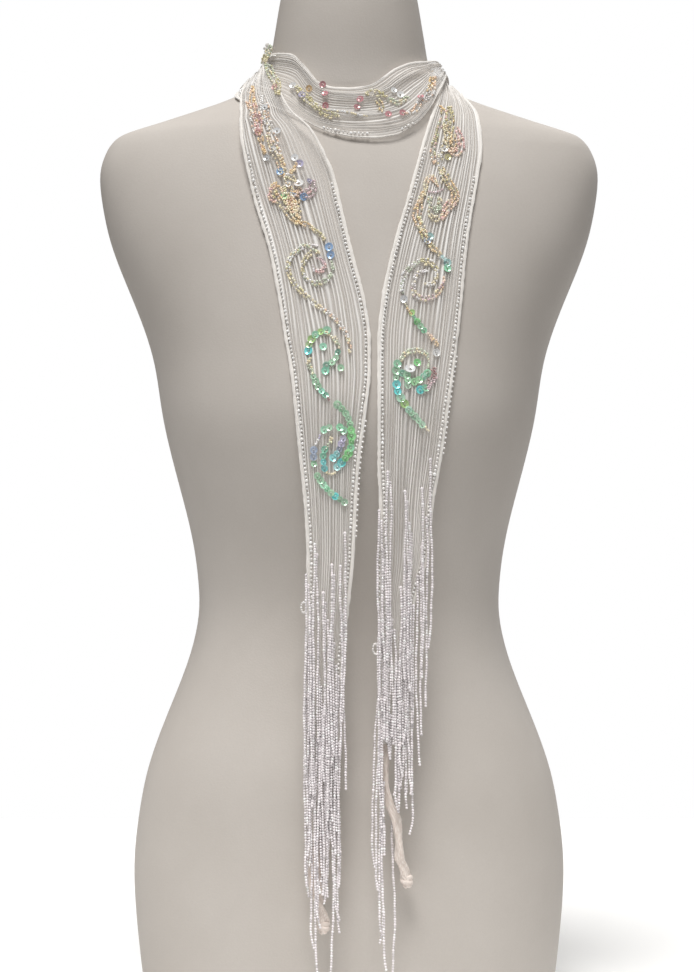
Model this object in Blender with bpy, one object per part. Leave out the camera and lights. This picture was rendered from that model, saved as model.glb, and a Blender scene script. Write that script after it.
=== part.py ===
"""A crinkle-chiffon skinny scarf, wound once round the neck of an armless dress form.

The origin is the middle of the form's flat base. +Z is up, -Y is the front and +X is the viewer's right.
Sizes are in millimetres up to the last step, which turns them into metres.
"""

import math

import bmesh
import bpy
import numpy as np

MM = 0.001

SEAM = 0.3  # gap between neighbouring pieces
WALL = 1.2  # thickness of the cloth under its crinkles
CRINKLE = 0.6  # height of a crinkle pleat above the wall
INNER_COLUMNS = 8  # the inside of a cloth wall is plain, so it has fewer columns
REST = 0.6  # how far the cloth's inside lies off the form

FORM_SIDES = 32
FORM_STEP = 34  # the most that two rings of the form lie apart, along its side
NECK_STEP = 12  # and the same from the shoulders up
SHOULDER_HEIGHT = 665
BUST_HEIGHT = 452  # below this the tails hang straight down

# The dress form, a row for each level. Square swells the section at its four corners.
FORM_COLUMNS = ("height", "half_width", "front", "back", "square")
FORM = (
    (0, 158, 102, 100, 0.05),
    (40, 163, 108, 108, 0.05),
    (102, 168, 112, 114, 0.05),
    (180, 158, 112, 105, 0.05),
    (240, 135, 105, 88, 0.05),
    (302, 116, 100, 76, 0.05),
    (350, 120, 108, 76, 0.05),
    (400, 132, 121, 81, 0.05),
    (452, 145, 130, 90, 0.05),
    (500, 152, 122, 97, 0.05),
    (560, 175, 108, 101, 0.05),
    (590, 187, 100, 102, 0.05),
    (620, 193, 91, 100, 0.05),
    (645, 196, 82, 94, 0.04),
    (660, 190, 75, 87, 0.04),
    (671, 182, 70, 81, 0.03),
    (681, 153, 66, 77, 0.02),
    (690, 125, 63, 70, 0.01),
    (700, 96, 60, 63, 0.0),
    (708, 80, 59, 60, 0.0),
    (718, 68, 58, 58.5, 0.0),
    (730, 62, 57.5, 57.5, 0.0),
    (745, 59.5, 57, 57, 0.0),
    (760, 57, 56, 56, 0.0),
    (775, 54.5, 54, 54, 0.0),
    (788, 52, 51.5, 51.5, 0.0),
)
NECK_CAP = ((790.2, 0.9), (791, 0.7))  # height and share of the neck's section, over its edge

# Stretches that lie in front, a row for each section. The first edge is the top or inner one, the second the
# bottom or outer one, and lift is how far the cloth's inside lies off the form.
FRONT_COLUMNS = ("first_x", "first_height", "second_x", "second_height", "lift")
FRONT_LOOP = (
    (-54, 733, -58, 686, 0.8),
    (-42, 729, -41, 678, 1.0),
    (-31.5, 717, -27, 670, 1.2),
    (-23, 706, -14.5, 664, 1.4),
    (-13.5, 701, -5, 661.5, 1.6),
    (0.5, 700, 5, 659.5, 1.8),
    (15, 702, 18.5, 659, 2.0),
    (24.5, 708, 34, 661, 2.6),
    (33, 715, 45.5, 667, 3.4),
    (45, 721.5, 56, 676, 4.2),
    (54, 723.5, 64, 689, 5.0),
    (60, 726.5, 69.5, 702, 5.8),
    (62.8, 728, 71.5, 714, 6.4),
)
LEFT_TAIL = (
    (-57.5, 742, -77, 708, 4.0),
    (-57, 728, -79, 699, 5.5),
    (-55, 712, -80, 690, 7.0),
    (-50, 695, -80.5, 681, 7.5),
    (-43, 680, -80.5, 671, 7.5),
    (-28.5, 665, -80, 658, 7.0),
    (-18.5, 648, -76.5, 640, 4.5),
    (-10.5, 629, -72.5, 622, 2.2),
    (-6.5, 612, -69.5, 610, 1.2),
    (2.5, 573, -58.5, 573, 0.6),
    (12.5, 532, -50.5, 532, REST),
    (15.5, 507, -46.5, 507, REST),
    (15.5, 485, -42.5, 485, REST),
    (11.5, 449, -38.5, 449, REST),
    (7.5, 419, -35.5, 419, REST),
    (5.5, 389, -32.5, 389, REST),
    (3.5, 348, -30.5, 348, REST),
    (0.5, 318, -30.5, 318, REST),
    (-3.5, 281, -29.5, 281, REST),
    (-5.5, 247, -28.5, 247, REST),
    (-8.5, 203, -26.5, 203, REST),
    (-10, 174, -25, 174, REST),
    (-13.5, 152, -23.5, 152, REST),
)
RIGHT_TAIL = (
    (67.5, 718, 82.5, 706, REST),
    (68.5, 709, 85.5, 702, REST),
    (68, 699, 90, 694, REST),
    (61.5, 679, 97.5, 679, REST),
    (54.5, 656, 99.5, 656, REST),
    (48.5, 634, 96.5, 634, REST),
    (42.5, 612, 92.5, 612, REST),
    (35.5, 589, 88.5, 589, REST),
    (29.5, 566, 85.5, 566, REST),
    (23.5, 536, 82.5, 536, REST),
    (20.5, 503, 78.5, 503, REST),
    (20.5, 463, 72.5, 463, REST),
    (20.5, 420, 66.5, 420, REST),
    (21.5, 391, 61.5, 391, REST),
    (22.5, 348, 56.5, 348, REST),
    (22.5, 317, 47.5, 317, REST),
    (22.5, 296, 44.5, 296, REST),
    (23.5, 261, 40.5, 261, REST),
    (24, 238, 36, 238, REST),
    (24, 215, 31, 215, REST),
)

# Rounds of the nape, a row for each section between their ends. Angles run from the front to the viewer's
# right, so 180 is the middle of the back. The ends meet the stretches in front.
BACK_COLUMNS = ("angle", "top_height", "bottom_height", "lift")
OUTER_BAND = (
    (115, 735, 708, 4.6),
    (145, 741, 706, 3.6),
    (180, 746, 706, 3.2),
    (220, 749, 705, 3.2),
    (255, 747, 705, 3.4),
)
INNER_BAND = (
    (-92, 736, 706, 0.7),
    (-130, 737, 703, 0.6),
    (-180, 738, 700, 0.6),
    (-225, 733, 701, REST),
    (-258, 723, 705, REST),
)

# The twisted end of a tail, a row for each section. Behind is how far its middle lies behind the tail's
# own face, and wide and deep are half sizes.
TIP_COLUMNS = ("height", "x", "behind", "wide", "deep")
LEFT_TIP = (
    (151.4, -18.5, -1.3, 4.8, 1.0),
    (140, -21.5, 0.6, 5.0, 2.4),
    (125, -24, 1.2, 4.8, 2.8),
    (108, -23.5, 1.6, 3.8, 3.0),
    (97, -20.5, 2.0, 3.0, 3.0),
    (91, -19, 2.4, 2.9, 2.9),
    (88, -18.5, 4.4, 5.4, 5.2),
    (84, -18.5, 4.6, 6.0, 5.8),
    (80, -18.5, 4.4, 5.2, 5.0),
    (77, -18.5, 2.6, 2.8, 2.8),
    (71, -19, 2.6, 3.4, 3.0),
)
RIGHT_TIP = (
    (214.4, 27.5, -1.3, 3.2, 1.0),
    (204, 26.5, 0.2, 2.6, 2.0),
    (186, 26.5, 0.9, 2.4, 2.4),
    (172, 29, 1.2, 2.6, 2.6),
    (158, 34.5, 1.6, 3.2, 3.0),
    (144, 36, 1.6, 3.2, 3.0),
    (132, 36.5, 1.6, 3.0, 3.0),
    (125, 39.5, 2.4, 2.8, 2.8),
    (121, 41, 4.2, 5.2, 5.0),
    (117, 41.5, 4.4, 5.8, 5.6),
    (113, 42, 4.2, 5.0, 4.8),
    (110, 42.5, 2.6, 2.8, 2.8),
    (105, 43, 2.6, 3.3, 2.9),
)
TIP_SIDES = 12
TIP_RINGS = 20
TIP_LOBES = 3
TIP_TWIST = 7.0  # radians from one end of a tip to the other

# Bead strands hang from three backings on each tail, narrow strips that lie on the cloth. Share is how far a
# strip lies from the tail's first edge to its second one, at its highest root and at its lowest.
BACKING_COLUMNS = ("name", "top_root", "bottom_root", "top_share", "bottom_share", "strands")
LEFT_BACKINGS = (
    ("left_fringe_outer", 360, 182, 0.93, 0.9, 9),
    ("left_fringe_middle", 345, 204, 0.55, 0.5, 8),
    ("left_fringe_inner", 368, 176, 0.28, 0.18, 9),
)
RIGHT_BACKINGS = (
    ("right_fringe_outer", 421, 252, 0.77, 0.82, 9),
    ("right_fringe_middle", 398, 236, 0.48, 0.5, 8),
    ("right_fringe_inner", 412, 188, 0.08, 0.14, 9),
)
STRIP_WIDTH = 1.6
STRIP_DEPTH = 1.0
ROOT_HEIGHT = 2.0
STRAND = 1.8  # width of a bead strand
STRAND_LENGTH = 137
LANE = 3.1  # strands hang in lanes this far apart
LAYER = 2.4  # and in layers this far apart, the highest roots in front
STRIP_LIFT = REST + WALL + CRINKLE + 0.5 + STRIP_DEPTH / 2  # how far a strip's middle lies off the form's face
FIRST_LAYER = STRIP_LIFT + STRIP_DEPTH / 2 + SEAM + STRAND / 2  # the same for the first layer of strands


def named(columns, table):
    """The table's columns by name, as arrays."""
    return {name: np.array(values, float) for name, values in zip(columns, zip(*table))}


def smooth(places, values):
    """A curve through the values at rising places, with no overshoot between them."""
    places = np.asarray(places, float)
    values = np.asarray(values, float)
    step = np.diff(places)
    slope = np.diff(values) / step
    tangent = np.zeros(len(values))
    tangent[0] = slope[0]
    tangent[-1] = slope[-1]
    before, after = slope[:-1], slope[1:]
    same_way = before * after > 0
    tangent[1:-1][same_way] = (2 * before * after)[same_way] / (before + after)[same_way]

    def at(place):
        place = np.clip(place, places[0], places[-1])
        i = np.clip(np.searchsorted(places, place) - 1, 0, len(step) - 1)
        t = (place - places[i]) / step[i]
        start = (1 + 2 * t) * (1 - t) ** 2 * values[i] + t * (1 - t) ** 2 * step[i] * tangent[i]
        return start + t**2 * (3 - 2 * t) * values[i + 1] + t**2 * (t - 1) * step[i] * tangent[i + 1]

    return at


form_table = named(FORM_COLUMNS, FORM)
half_width, front_depth, back_depth, squareness = (
    smooth(form_table["height"], form_table[column]) for column in FORM_COLUMNS[1:]
)


def section(angle, level):
    """The x and y of the form's section at a level. Angle 0 is the front, and a quarter turn +X."""
    across, along = np.sin(angle), np.cos(angle)
    swell = 1 + squareness(level) * np.sin(2 * angle) ** 2
    depth = np.where(along > 0, front_depth(level), back_depth(level))
    return half_width(level) * across * swell, -depth * along * swell


def face(angle, height):
    """A point of the face that cloth lies on: the form, and straight down from its bust."""
    x, y = section(angle, np.maximum(height, BUST_HEIGHT))
    return np.stack(np.broadcast_arrays(x, y, height), -1)


def off_face(angle, height, lift):
    """A point lifted off the face along the face's normal."""
    nudge = 0.01
    across = face(angle + nudge, height) - face(angle - nudge, height)
    along = face(angle, height + nudge * 50) - face(angle, height - nudge * 50)
    normal = np.cross(across, along)
    normal /= np.linalg.norm(normal, axis=-1, keepdims=True)
    return face(angle, height) + normal * np.asarray(lift)[..., None]


def angle_of(x, height):
    """The angle at which the front of the face has this x."""
    level = np.maximum(height, BUST_HEIGHT)
    angle = np.zeros(np.broadcast(x, level).shape)
    for _ in range(8):
        swell = 1 + squareness(level) * np.sin(2 * angle) ** 2
        angle = np.arcsin(np.clip(x / (half_width(level) * swell), -1, 1))
    return angle


def front_track(table):
    """Edges of a stretch in front, as a function of the run along it from 0 to 1."""
    rows = named(FRONT_COLUMNS, table)
    places = np.linspace(0, 1, len(table))
    first_x, first_height, second_x, second_height, lift = (
        smooth(places, rows[column]) for column in FRONT_COLUMNS
    )

    def at(run):
        first = angle_of(first_x(run), first_height(run)), first_height(run)
        second = angle_of(second_x(run), second_height(run)), second_height(run)
        return *first, *second, lift(run)

    return at


def back_track(table, start, end, turns):
    """Edges of a round of the nape that leaves the stretch start and joins the stretch end. Turns are
    added to the angles of its end, which lies past the middle of the back."""
    rows = named(BACK_COLUMNS, table)
    angle = np.radians(rows["angle"])
    middle = np.stack([angle, rows["top_height"], angle, rows["bottom_height"], rows["lift"]], 1)
    end = np.array(end) + np.array([turns * math.tau, 0, turns * math.tau, 0, 0])
    whole = np.vstack([start, middle, end])
    places = np.linspace(0, 1, len(whole))
    curves = [smooth(places, column) for column in whole.T]
    return lambda run: tuple(curve(run) for curve in curves)


def crinkles(run, across, ridges):
    """Crinkle pleats along the cloth, a little uneven in height."""
    ridge = 0.5 - 0.5 * np.cos(math.tau * ridges * across)
    uneven = 0.75 + 0.25 * np.sin(9 * across + 5 * run)
    return CRINKLE * ridge * uneven


def folds(run, across, count, height, fade):
    """Soft folds that drift across the cloth as it runs, down to a share of their height at its end."""
    drift = 0.25 * np.sin(math.pi * run) + 0.1 * np.sin(7 * run)
    wave = 0.5 - 0.5 * np.cos(math.tau * count * (across + drift))
    fading = 1 - (1 - fade) * np.clip(2 * run, 0, 1)
    return height * fading * wave * np.sin(math.pi * across) ** 0.5


def wall_grid(track, run, across, lift):
    """Points between a track's two edges, lifted by the track's own lift and by lift."""
    first_angle, first_height, second_angle, second_height, own = track(run)
    angle = first_angle + (second_angle - first_angle) * across
    height = first_height + (second_height - first_height) * across
    return off_face(angle, height, own + lift)


def run_of(track, rows):
    """Runs that lie evenly along a track, which ends half a seam short at each end."""
    fine = np.linspace(0, 1, 401)
    edges = wall_grid(track, fine[:, None], np.array([[0.0, 1.0]]), 0.0)
    steps = np.linalg.norm(np.diff(edges, axis=0), axis=2)
    shorter = np.minimum(steps[:, 0], steps[:, 1])
    trims = [0.5 * SEAM * (fine[1] / shorter[end]) for end in (0, -1)]
    along = np.concatenate([[0], np.cumsum(steps.max(1))])
    start, end = np.interp([trims[0], 1 - trims[1]], fine, along)
    return np.interp(np.linspace(start, end, rows + 1), along, fine)


def make_object(name, points, faces, material, smooth_angle=40):
    """One closed solid from points in millimetres."""
    mesh = bpy.data.meshes.new(name)
    mesh.from_pydata((np.asarray(points, float) * MM).tolist(), [], faces)
    work = bmesh.new()
    work.from_mesh(mesh)
    bmesh.ops.recalc_face_normals(work, faces=work.faces)
    work.to_mesh(mesh)
    work.free()
    mesh.materials.append(material)
    mesh.shade_smooth()
    mesh.set_sharp_from_angle(angle=math.radians(smooth_angle))
    solid = bpy.data.objects.new(name, mesh)
    bpy.context.collection.objects.link(solid)
    return solid


def paint(name, colour, roughness, metallic=0.0):
    """A plain material."""
    material = bpy.data.materials.new(name)
    material.use_nodes = True
    shader = material.node_tree.nodes["Principled BSDF"]
    shader.inputs["Base Color"].default_value = (*colour, 1)
    shader.inputs["Roughness"].default_value = roughness
    shader.inputs["Metallic"].default_value = metallic
    return material


def tube_faces(rings, sides, start=0):
    """Quads between rings of points, and a face over the last ring."""
    quads = []
    for ring in range(rings - 1):
        for side in range(sides):
            here = start + ring * sides + side
            beside = start + ring * sides + (side + 1) % sides
            quads.append((here, beside, beside + sides, here + sides))
    last = start + (rings - 1) * sides
    quads.append(tuple(range(last, last + sides)))
    return quads


def dress_form(material):
    """The form: rings from its flat base to the neck's cap."""
    heights = [float(FORM[0][0])]
    for row in FORM[1:]:
        low = heights[-1]
        length = math.hypot(row[0] - low, row[1] - float(half_width(low)))
        parts = math.ceil(length / (NECK_STEP if row[0] > SHOULDER_HEIGHT else FORM_STEP))
        heights += list(np.linspace(heights[-1], row[0], parts + 1)[1:])
    angle = np.arange(FORM_SIDES) * math.tau / FORM_SIDES
    rings = [np.stack(np.broadcast_arrays(*section(angle, height), height), 1) for height in heights]
    for height, share in NECK_CAP:
        x, y = section(angle, heights[-1])
        rings.append(np.stack(np.broadcast_arrays(x * share, y * share, height), 1))
    faces = tube_faces(len(rings), FORM_SIDES)
    faces.append(tuple(range(FORM_SIDES)))
    return make_object("dress_form", np.concatenate(rings), faces, material)


def cloth(name, track, rows, ridges, fold_count, fold_height, fade, material):
    """A wall of cloth: a plain inside, and an outside with crinkles and folds."""
    columns = INNER_COLUMNS * math.ceil(2 * ridges / INNER_COLUMNS)
    share = columns // INNER_COLUMNS
    run = run_of(track, rows)[:, None]
    across = np.linspace(0, 1, columns + 1)[None, :]
    raised = crinkles(run, across, ridges) + folds(run, across, fold_count, fold_height, fade)
    outside = wall_grid(track, run, across, WALL + raised)
    inside = wall_grid(track, run, across[:, ::share], np.zeros((rows + 1, INNER_COLUMNS + 1)))
    points = np.concatenate([outside.reshape(-1, 3), inside.reshape(-1, 3)])

    def out(row, column):
        return row * (columns + 1) + column

    def inn(row, column):
        return (rows + 1) * (columns + 1) + row * (INNER_COLUMNS + 1) + column

    faces = []
    for row in range(rows):
        for column in range(columns):
            faces.append(
                (out(row, column), out(row, column + 1), out(row + 1, column + 1), out(row + 1, column))
            )
        for column in range(INNER_COLUMNS):
            faces.append(
                (inn(row, column), inn(row + 1, column), inn(row + 1, column + 1), inn(row, column + 1))
            )
        faces.append((out(row, 0), out(row + 1, 0), inn(row + 1, 0), inn(row, 0)))
        faces.append(
            (
                out(row, columns),
                inn(row, INNER_COLUMNS),
                inn(row + 1, INNER_COLUMNS),
                out(row + 1, columns),
            )
        )
    for row in (0, rows):
        for column in range(INNER_COLUMNS):
            first = column * share
            middle = first + share // 2
            for step in range(first, middle):
                faces.append((inn(row, column), out(row, step), out(row, step + 1)))
            faces.append((inn(row, column), out(row, middle), inn(row, column + 1)))
            for step in range(middle, first + share):
                faces.append((inn(row, column + 1), out(row, step), out(row, step + 1)))
    return make_object(name, points, faces, material)


def tip(name, table, material):
    """The twisted, knotted end of a tail: a lobed section that turns as it runs down."""
    rows = named(TIP_COLUMNS, table)
    places = np.linspace(0, 1, len(table))
    height, x, behind, wide, deep = (smooth(places, rows[column]) for column in TIP_COLUMNS)
    around = np.arange(TIP_SIDES) * math.tau / TIP_SIDES
    rings = []
    for run in np.linspace(0, 1, TIP_RINGS + 1):
        middle = face(angle_of(x(run), height(run)), height(run))
        lobes = 1 + 0.16 * min(1, 4 * run) * np.cos(TIP_LOBES * around - TIP_TWIST * run)
        ring = np.empty((TIP_SIDES, 3))
        ring[:, 0] = middle[0] + wide(run) * lobes * np.cos(around)
        ring[:, 1] = middle[1] + behind(run) + deep(run) * lobes * np.sin(around)
        ring[:, 2] = middle[2]
        rings.append(ring)
    faces = tube_faces(len(rings), TIP_SIDES)
    faces.append(tuple(range(TIP_SIDES)))
    return make_object(name, np.concatenate(rings), faces, material)


def strip_line(table, backing):
    """A backing strip's x by height, between the tail's two edges."""
    rows = named(FRONT_COLUMNS, table)
    rising = rows["first_height"][::-1]
    first = smooth(rising, rows["first_x"][::-1])
    second = smooth(rising, rows["second_x"][::-1])
    ends = (backing["bottom_root"], backing["top_root"])
    share = smooth(ends, (backing["bottom_share"], backing["top_share"]))
    return lambda height: first(height) + (second(height) - first(height)) * share(height)


def hang_lanes(lines, backings):
    """Where each strand hangs, by backing: its root's height, its lane's x, and the y of the first layer
    and of its own. Lower roots go first and take the free layer nearest the cloth, in their own lane or
    beside it. A higher strand passes in front of them and of their roots, so none crosses another."""
    roots = []
    for backing in backings:
        for height in np.linspace(backing["bottom_root"], backing["top_root"], backing["strands"]):
            roots.append((height, backing["name"]))
    taken = {}
    lanes = {backing["name"]: [] for backing in backings}
    for height, name in sorted(roots):
        own = round(float(lines[name](height)) / LANE)
        free = {lane: taken.get(lane, -1) + 1 for lane in (own, own - 1, own + 1)}
        lane = min(free, key=free.get)
        layer = free[lane]
        taken[lane] = layer
        taken[own] = max(taken.get(own, -1), 0)
        lane_x = lane * LANE
        first_y = face(angle_of(lane_x, height), height)[1] - FIRST_LAYER
        lanes[name].append((height, lane_x, first_y, first_y - LAYER * layer))
    return lanes


def strand_rings(root, lane_x, first_y, lane_y):
    """Four-sided rings of a strand, from just under its root to its end."""
    half = STRAND / 2
    stations = (
        (root - 3.0, first_y, 1.0),
        (root - 10.0, lane_y, 1.0),
        (root - 0.5 * STRAND_LENGTH, lane_y, 1.0),
        (root - STRAND_LENGTH + 9.0, lane_y, 1.0),
        (root - STRAND_LENGTH, lane_y - 1.2, 0.7),
    )
    rings = []
    for height, y, size in stations:
        reach = half * size
        rings.append((lane_x - reach, y - reach, height))
        rings.append((lane_x + reach, y - reach, height))
        rings.append((lane_x + reach, y + reach, height))
        rings.append((lane_x - reach, y + reach, height))
    return rings, len(stations)


def fringe(name, line, lanes, material):
    """A backing strip with its strands, drawn out of the strip's front."""
    lanes = sorted(lanes, reverse=True)
    half = ROOT_HEIGHT / 2
    heights = [lanes[0][0] + 2 * ROOT_HEIGHT]
    for root, _, _, _ in lanes:
        heights += [root + half, root - half]
    heights.append(lanes[-1][0] - 2 * ROOT_HEIGHT)
    points, faces = [], []
    for height in heights:
        x = float(line(height))
        x, y, z = off_face(angle_of(x, height), height, STRIP_LIFT)
        for side, depth in ((-1, -1), (1, -1), (1, 1), (-1, 1)):
            points.append((x + side * STRIP_WIDTH / 2, y + depth * STRIP_DEPTH / 2, z))
    faces.append((0, 1, 2, 3))
    for row in range(len(heights) - 1):
        top, low = 4 * row, 4 * row + 4
        for side in range(4):
            beside = (side + 1) % 4
            if side or row % 2 == 0:
                faces.append((top + side, top + beside, low + beside, low + side))
    last = 4 * (len(heights) - 1)
    faces.append((last, last + 1, last + 2, last + 3))
    for number, (root, lane_x, first_y, lane_y) in enumerate(lanes):
        top = 4 * (2 * number + 1)
        base = (top, top + 1, top + 5, top + 4)
        rings, count = strand_rings(root, lane_x, first_y, lane_y)
        start = len(points)
        points += rings
        for side in range(4):
            beside = (side + 1) % 4
            faces.append((base[side], base[beside], start + beside, start + side))
        faces += tube_faces(count, 4, start)
    return make_object(name, points, faces, material)


def main():
    for old in list(bpy.data.objects):
        bpy.data.objects.remove(old)
    chiffon = paint("chiffon", (0.86, 0.83, 0.79), 0.75)
    pinkish = paint("twisted_chiffon", (0.78, 0.70, 0.65), 0.75)
    beads = paint("beads", (0.70, 0.68, 0.72), 0.25)
    shell = paint("form_shell", (0.62, 0.57, 0.52), 0.65)

    dress_form(shell)
    loop = front_track(FRONT_LOOP)
    left = front_track(LEFT_TAIL)
    right = front_track(RIGHT_TAIL)
    inner = back_track(INNER_BAND, loop(0.0), right(0.0), -1)
    outer = back_track(OUTER_BAND, loop(1.0), left(0.0), 1)
    cloth("front_loop", loop, 26, 14, 3, 1.4, 1, chiffon)
    cloth("back_band_inner", inner, 22, 8, 2, 0.4, 1, chiffon)
    cloth("back_band_outer", outer, 22, 12, 3, 1.0, 1, chiffon)
    cloth("left_tail", left, 30, 16, 3, 0.9, 0, chiffon)
    cloth("right_tail", right, 30, 16, 3, 0.9, 0, chiffon)
    tip("left_tip", LEFT_TIP, pinkish)
    tip("right_tip", RIGHT_TIP, pinkish)
    for table, backings in ((LEFT_TAIL, LEFT_BACKINGS), (RIGHT_TAIL, RIGHT_BACKINGS)):
        backings = [dict(zip(BACKING_COLUMNS, backing)) for backing in backings]
        lines = {backing["name"]: strip_line(table, backing) for backing in backings}
        lanes = hang_lanes(lines, backings)
        for name, line in lines.items():
            fringe(name, line, lanes[name], beads)


main()
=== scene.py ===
# %% [markdown]
# # A beaded skinny scarf on a dress form
# The scarf is one long, narrow strip of crinkle chiffon. It goes once round the neck of an armless dress
# form, and its two ends hang in front. Sequins and small beads are sewn on in scrolls, and bead strands
# hang from both ends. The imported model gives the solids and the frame, and this lesson dresses them.

# %% Load the frame
import math

import bpy
import numpy as np
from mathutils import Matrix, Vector


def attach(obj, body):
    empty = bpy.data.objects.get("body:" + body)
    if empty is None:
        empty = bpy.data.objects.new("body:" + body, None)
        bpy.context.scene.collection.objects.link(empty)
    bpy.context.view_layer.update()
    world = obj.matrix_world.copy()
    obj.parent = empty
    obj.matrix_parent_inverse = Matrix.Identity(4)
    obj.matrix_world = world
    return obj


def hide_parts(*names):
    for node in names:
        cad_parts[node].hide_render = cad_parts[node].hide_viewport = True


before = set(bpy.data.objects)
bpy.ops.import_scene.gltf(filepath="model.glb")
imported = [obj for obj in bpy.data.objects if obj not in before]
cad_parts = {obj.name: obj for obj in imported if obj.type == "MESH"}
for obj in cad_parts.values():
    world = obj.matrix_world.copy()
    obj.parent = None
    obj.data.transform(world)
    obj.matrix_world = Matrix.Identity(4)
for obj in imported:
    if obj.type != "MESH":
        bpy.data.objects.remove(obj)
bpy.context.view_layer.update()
print("nodes in the frame:", len(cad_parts))

# %% [markdown]
# ## Sizes
# All lengths below are in millimetres, and they become metres only when a mesh is made. The origin is the
# middle of the form's flat base, +Z is up, -Y is the front and +X is the viewer's right. The tables are the
# ones that the solids were made from, because the thin cloth has to lie exactly where its solid lies.

# %% Sizes of the cloth
MM = 0.001
WALL = 1.2  # thickness of the solid that stands for the cloth
REST = 0.6  # how far the cloth's inside lies off the form
CHIFFON = 0.4  # thickness of the thin cloth that is seen
CRINKLE = 1.0  # height of the tallest crinkle pleat
RIDGE_MEAN = 0.3  # about the mean height of a pleat, as a share of the tallest one
PLEATS = 23  # crinkle pleats from edge to edge, the same all along the scarf
PLEAT_COLUMNS = 7  # columns of faces in a pleat
ROW_STEP = 3.2  # length of a face along the scarf
HEM = 2.6  # width of the rolled hem on both long edges
HEM_THICK = 1.1

# %% Sizes of the dress form
FORM_COLUMNS = ("height", "half_width", "front", "back", "square")
FORM = (
    (0, 158, 102, 100, 0.05),
    (40, 163, 108, 108, 0.05),
    (102, 168, 112, 114, 0.05),
    (180, 158, 112, 105, 0.05),
    (240, 135, 105, 88, 0.05),
    (302, 116, 100, 76, 0.05),
    (350, 120, 108, 76, 0.05),
    (400, 132, 121, 81, 0.05),
    (452, 145, 130, 90, 0.05),
    (500, 152, 122, 97, 0.05),
    (560, 175, 108, 101, 0.05),
    (590, 187, 100, 102, 0.05),
    (620, 193, 91, 100, 0.05),
    (645, 196, 82, 94, 0.04),
    (660, 190, 75, 87, 0.04),
    (671, 182, 70, 81, 0.03),
    (681, 153, 66, 77, 0.02),
    (690, 125, 63, 70, 0.01),
    (700, 96, 60, 63, 0.0),
    (708, 80, 59, 60, 0.0),
    (718, 68, 58, 58.5, 0.0),
    (730, 62, 57.5, 57.5, 0.0),
    (745, 59.5, 57, 57, 0.0),
    (760, 57, 56, 56, 0.0),
    (775, 54.5, 54, 54, 0.0),
    (788, 52, 51.5, 51.5, 0.0),
)
BUST_HEIGHT = 452  # below this the tails hang straight down

# %% Edges of the stretches in front
FRONT_COLUMNS = ("first_x", "first_height", "second_x", "second_height", "lift")
FRONT_LOOP = (
    (-54, 733, -58, 686, 0.8),
    (-42, 729, -41, 678, 1.0),
    (-31.5, 717, -27, 670, 1.2),
    (-23, 706, -14.5, 664, 1.4),
    (-13.5, 701, -5, 661.5, 1.6),
    (0.5, 700, 5, 659.5, 1.8),
    (15, 702, 18.5, 659, 2.0),
    (24.5, 708, 34, 661, 2.6),
    (33, 715, 45.5, 667, 3.4),
    (45, 721.5, 56, 676, 4.2),
    (54, 723.5, 64, 689, 5.0),
    (60, 726.5, 69.5, 702, 5.8),
    (62.8, 728, 71.5, 714, 6.4),
)
LEFT_TAIL = (
    (-57.5, 742, -77, 708, 4.0),
    (-57, 728, -79, 699, 5.5),
    (-55, 712, -80, 690, 7.0),
    (-50, 695, -80.5, 681, 7.5),
    (-43, 680, -80.5, 671, 7.5),
    (-28.5, 665, -80, 658, 7.0),
    (-18.5, 648, -76.5, 640, 4.5),
    (-10.5, 629, -72.5, 622, 2.2),
    (-6.5, 612, -69.5, 610, 1.2),
    (2.5, 573, -58.5, 573, 0.6),
    (12.5, 532, -50.5, 532, REST),
    (15.5, 507, -46.5, 507, REST),
    (15.5, 485, -42.5, 485, REST),
    (11.5, 449, -38.5, 449, REST),
    (7.5, 419, -35.5, 419, REST),
    (5.5, 389, -32.5, 389, REST),
    (3.5, 348, -30.5, 348, REST),
    (0.5, 318, -30.5, 318, REST),
    (-3.5, 281, -29.5, 281, REST),
    (-5.5, 247, -28.5, 247, REST),
    (-8.5, 203, -26.5, 203, REST),
    (-10, 174, -25, 174, REST),
    (-13.5, 152, -23.5, 152, REST),
)
RIGHT_TAIL = (
    (67.5, 718, 82.5, 706, REST),
    (68.5, 709, 85.5, 702, REST),
    (68, 699, 90, 694, REST),
    (61.5, 679, 97.5, 679, REST),
    (54.5, 656, 99.5, 656, REST),
    (48.5, 634, 96.5, 634, REST),
    (42.5, 612, 92.5, 612, REST),
    (35.5, 589, 88.5, 589, REST),
    (29.5, 566, 85.5, 566, REST),
    (23.5, 536, 82.5, 536, REST),
    (20.5, 503, 78.5, 503, REST),
    (20.5, 463, 72.5, 463, REST),
    (20.5, 420, 66.5, 420, REST),
    (21.5, 391, 61.5, 391, REST),
    (22.5, 348, 56.5, 348, REST),
    (22.5, 317, 47.5, 317, REST),
    (22.5, 296, 44.5, 296, REST),
    (23.5, 261, 40.5, 261, REST),
    (24, 238, 36, 238, REST),
    (24, 215, 31, 215, REST),
)

# %% Edges of the two rounds of the nape
BACK_COLUMNS = ("angle", "top_height", "bottom_height", "lift")
OUTER_BAND = (
    (115, 735, 708, 4.6),
    (145, 741, 706, 3.6),
    (180, 746, 706, 3.2),
    (220, 749, 705, 3.2),
    (255, 747, 705, 3.4),
)
INNER_BAND = (
    (-92, 736, 706, 0.7),
    (-130, 737, 703, 0.6),
    (-180, 738, 700, 0.6),
    (-225, 733, 701, REST),
    (-258, 723, 705, REST),
)

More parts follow.
